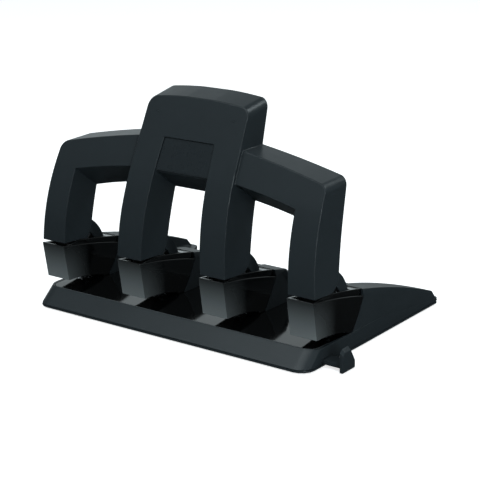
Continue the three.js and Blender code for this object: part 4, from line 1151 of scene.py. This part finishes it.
def die(node):
    half = half_size(node)
    rim = chamfered(half.x, -half.z, half.z, DIE_CHAMFER)
    mouth = [(DIE_BORE + DIE_CHAMFER, half.z), (DIE_BORE, half.z - DIE_CHAMFER)]
    return turned_node(node, [(DIE_BORE, -half.z), *rim, *mouth])


def pivot_pin(node):
    half = half_size(node)
    rim = chamfered(half.z, -half.x, half.x, PIVOT_CHAMFER)
    return turned_node(node, [(0, -half.x), *rim, (0, half.x)], "X")


def screw_row(name, tree, nodes, columns, rows, turn, seat):
    """One object for the screws of one body; seat gives a head's seat from a node's box."""
    places = [seat(*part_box(node)) for node in nodes]
    low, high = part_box(nodes[0])
    size = high - low
    step = places[-1] - places[0]
    made = grown(
        name, tree, Head_radius=SCREW_HEAD_RADIUS * MM, Head_height=SCREW_HEAD_HEIGHT * MM,
        Core_radius=SCREW_CORE_RADIUS * MM, Thread_radius=SCREW_THREAD_RADIUS * MM,
        Thread_pitch=SCREW_PITCH * MM, Length=max(size) - SCREW_HEAD_HEIGHT * MM, Columns=columns, Rows=rows,
        Column_step=(step.x / max(columns - 1, 1), 0, 0), Row_step=(0, step.y / max(rows - 1, 1), 0),
        First=places[0], Turn=turn, Material=material("steel"))
    return finish_piece(shade(made), *nodes)


# Operators

class PUNCH_OT_stage(bpy.types.Operator):
    """Makes the camera, the pale floor, the soft lamps and the white world"""

    bl_idname = "punch.stage"
    bl_label = "Stage"

    def execute(self, context):
        context.scene.view_settings.view_transform = "Standard"
        add_camera()
        studio_world()
        add_floor()
        for lamp in LAMPS:
            add_lamp(*lamp)
        return {"FINISHED"}


class PUNCH_OT_finishes(bpy.types.Operator):
    """Makes the plastics, steels and rubber from the sidebar's colours"""

    bl_idname = "punch.finishes"
    bl_label = "Finishes"

    def execute(self, context):
        s = settings(context)
        moulded("matt_plastic", s.matt_colour, s.matt_roughness, grain_scale=2600, grain_strength=0.14)
        moulded("panel_plastic", s.panel_colour, s.matt_roughness - PANEL_SMOOTHER,
                grain_scale=4200, grain_strength=0.02)
        polished("gloss_plastic", s.gloss_colour, s.gloss_roughness, s.painted_light_colour)
        plated("steel", s.steel_colour, roughness=0.3, streaks=(1, 1, 12))
        plated("tool_steel", s.tool_colour, roughness=0.22, streaks=(6, 6, 1))
        rubbery("rubber", s.rubber_colour, roughness=0.8)
        return {"FINISHED"}


class PUNCH_OT_inner_parts(bpy.types.Operator):
    """Makes the rail, the bracket, the punch frames and the lever arms, with broken edges"""

    bl_idname = "punch.inner_parts"
    bl_label = "Inner parts"

    def execute(self, context):
        for node, plain in frame["nodes"].items():
            paint(plain, node)
        edge = settings(context).steel_edge
        tower_parts = (f"{kind}_{i}" for kind in ARM_AND_FRAME for i in TOWERS)
        for node in ("base_rail", "guide_bracket", *tower_parts):
            refined(node, edge)
        return {"FINISHED"}


class PUNCH_OT_handle(bpy.types.Operator):
    """Makes the handle's moulding, its rear cover and the recessed panel"""

    bl_idname = "punch.handle"
    bl_label = "Handle"

    def execute(self, context):
        edge = settings(context).handle_edge
        for made, node in (
            (make_handle_shell(edge), "handle_shell"),
            (make_back_cover(edge / 2), "handle_back_cover"),
            (make_panel(edge / 3), "front_panel"),
        ):
            finish_piece(made, node)
        return {"FINISHED"}


class PUNCH_OT_shoes(bpy.types.Operator):
    """Makes the glossy shoes with a wide lip along their sides, and the cores inside them"""

    bl_idname = "punch.shoes"
    bl_label = "Shoes and cores"

    def execute(self, context):
        s = settings(context)
        share = s.shoe_edge / s.shoe_lip
        for i in TOWERS:
            low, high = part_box(f"shoe_{i}")

            def lip(a, b):
                on_side = min(a.x, b.x) > high.x - MM / 2 or max(a.x, b.x) < low.x + MM / 2
                is_top = min(a.z, b.z) > lerp(low.z, high.z, LIP_FROM) and abs(a.y - b.y) > LIP_SHORTEST * MM
                return 1 if on_side and is_top else share

            refined(f"shoe_{i}", s.shoe_lip, segments=4, share=lip)
            refined(f"tower_core_{i}", s.core_edge, segments=3)
            node = f"heel_cover_{i}"
            made = make_heel_cover(middle(node).x / MM, s.core_edge)
            finish_piece(made, node)
        return {"FINISHED"}


class PUNCH_OT_base(bpy.types.Operator):
    """Makes the base housing, the floor plate, the chip tray and the paper guide"""

    bl_idname = "punch.base"
    bl_label = "Base"

    def execute(self, context):
        s = settings(context)
        refined("base_housing", s.base_edge, segments=2, angle=20)
        refined("floor_plate", s.base_edge / 2)
        refined("chip_tray", s.base_edge)
        refined("paper_guide", s.base_edge, segments=3)
        return {"FINISHED"}


class PUNCH_OT_pins(bpy.types.Operator):
    """Turns the punch pins with their hollow ends, the dies and the pivot pins"""

    bl_idname = "punch.pins"
    bl_label = "Pins and dies"

    def execute(self, context):
        for i in TOWERS:
            punch_pin(f"punch_pin_{i}")
            die(f"die_{i}")
            pivot_pin(f"pivot_pin_{i}")
        return {"FINISHED"}


class PUNCH_OT_springs(bpy.types.Operator):
    """Winds the return springs, each with a mesh of its own"""

    bl_idname = "punch.springs"
    bl_label = "Springs"

    def execute(self, context):
        tree = spring_tree()
        for i in TOWERS:
            node = f"return_spring_{i}"
            low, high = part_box(node)
            foot = Vector((middle(node).x, middle(node).y, low.z))
            made = grown(
                f"{node}_coil", tree, Coil_radius=(high.x - low.x) / 2 - WIRE_RADIUS * MM,
                Wire_radius=WIRE_RADIUS * MM, Turns=float(SPRING_TURNS), Height=high.z - low.z, Foot=foot,
                Material=material("steel"))
            finish_piece(shade(made), node)
            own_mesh(made)
        return {"FINISHED"}


class PUNCH_OT_screws(bpy.types.Operator):
    """Makes the screws of the rail, the arms and the rear cover"""

    bl_idname = "punch.screws"
    bl_label = "Screws"

    def execute(self, context):
        tree = screw_tree()
        head = SCREW_HEAD_HEIGHT * MM
        right_angle = math.radians(90)

        def below(low, high):
            return Vector(((low.x + high.x) / 2, (low.y + high.y) / 2, low.z + head))

        def behind(low, high):
            return Vector(((low.x + high.x) / 2, high.y - head, (low.z + high.z) / 2))

        rail = [f"rail_screw_{i}" for i in TOWERS]
        arms = [f"arm_screw_{i}" for i in TOWERS]
        covers = [f"cover_screw_{i}" for i in (1, 2)]
        screw_row("rail_screws", tree, rail, 2, 2, (2 * right_angle, 0, 0), below)
        screw_row("arm_screws", tree, arms, 4, 1, (-right_angle, 0, 0), behind)
        screw_row("cover_screws", tree, covers, 2, 1, (-right_angle, 0, 0), behind)
        return {"FINISHED"}


class PUNCH_OT_rubber(bpy.types.Operator):
    """Makes the ribbed strip and pads under the tray"""

    bl_idname = "punch.rubber"
    bl_label = "Rubber feet"

    def execute(self, context):
        tree = rubber_tree()
        for node in ("rubber_strip", *(f"rubber_pad_{i}" for i in TOWERS)):
            low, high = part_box(node)
            size = high - low
            made = grown(
                f"{node}_ribbed", tree, Size=size, Centre=middle(node),
                Grooves=round(size.x / MM / GROOVE_PITCH), Groove_width=GROOVE_WIDTH * MM,
                Groove_depth=GROOVE_DEPTH * MM, Material=material("rubber"))
            finish_piece(shade(made), node)
        return {"FINISHED"}


class PUNCH_PT_panel(bpy.types.Panel):
    """Lists the steps that build the punch"""

    bl_label = "Punch"
    bl_idname = "PUNCH_PT_panel"
    bl_space_type = "VIEW_3D"
    bl_region_type = "UI"
    bl_category = "Punch"

    def draw(self, context):
        layout = self.layout
        for name in PunchSettings.__annotations__:
            layout.prop(settings(context), name)
        for step in STEPS:
            layout.operator(step.bl_idname)


STEPS = (
    PUNCH_OT_stage, PUNCH_OT_finishes, PUNCH_OT_inner_parts, PUNCH_OT_handle, PUNCH_OT_shoes,
    PUNCH_OT_base, PUNCH_OT_pins, PUNCH_OT_springs, PUNCH_OT_screws, PUNCH_OT_rubber,
)
CLASSES = (PunchSettings, *STEPS, PUNCH_PT_panel)


def register():
    for cls in CLASSES:
        bpy.utils.register_class(cls)
    bpy.types.Scene.punch_settings = bpy.props.PointerProperty(type=PunchSettings)


def unregister():
    del bpy.types.Scene.punch_settings
    for cls in reversed(CLASSES):
        bpy.utils.unregister_class(cls)


def main():
    register()
    for step in STEPS:
        area, name = step.bl_idname.split(".")
        getattr(getattr(bpy.ops, area), name)()


if __name__ == "__main__":
    main()
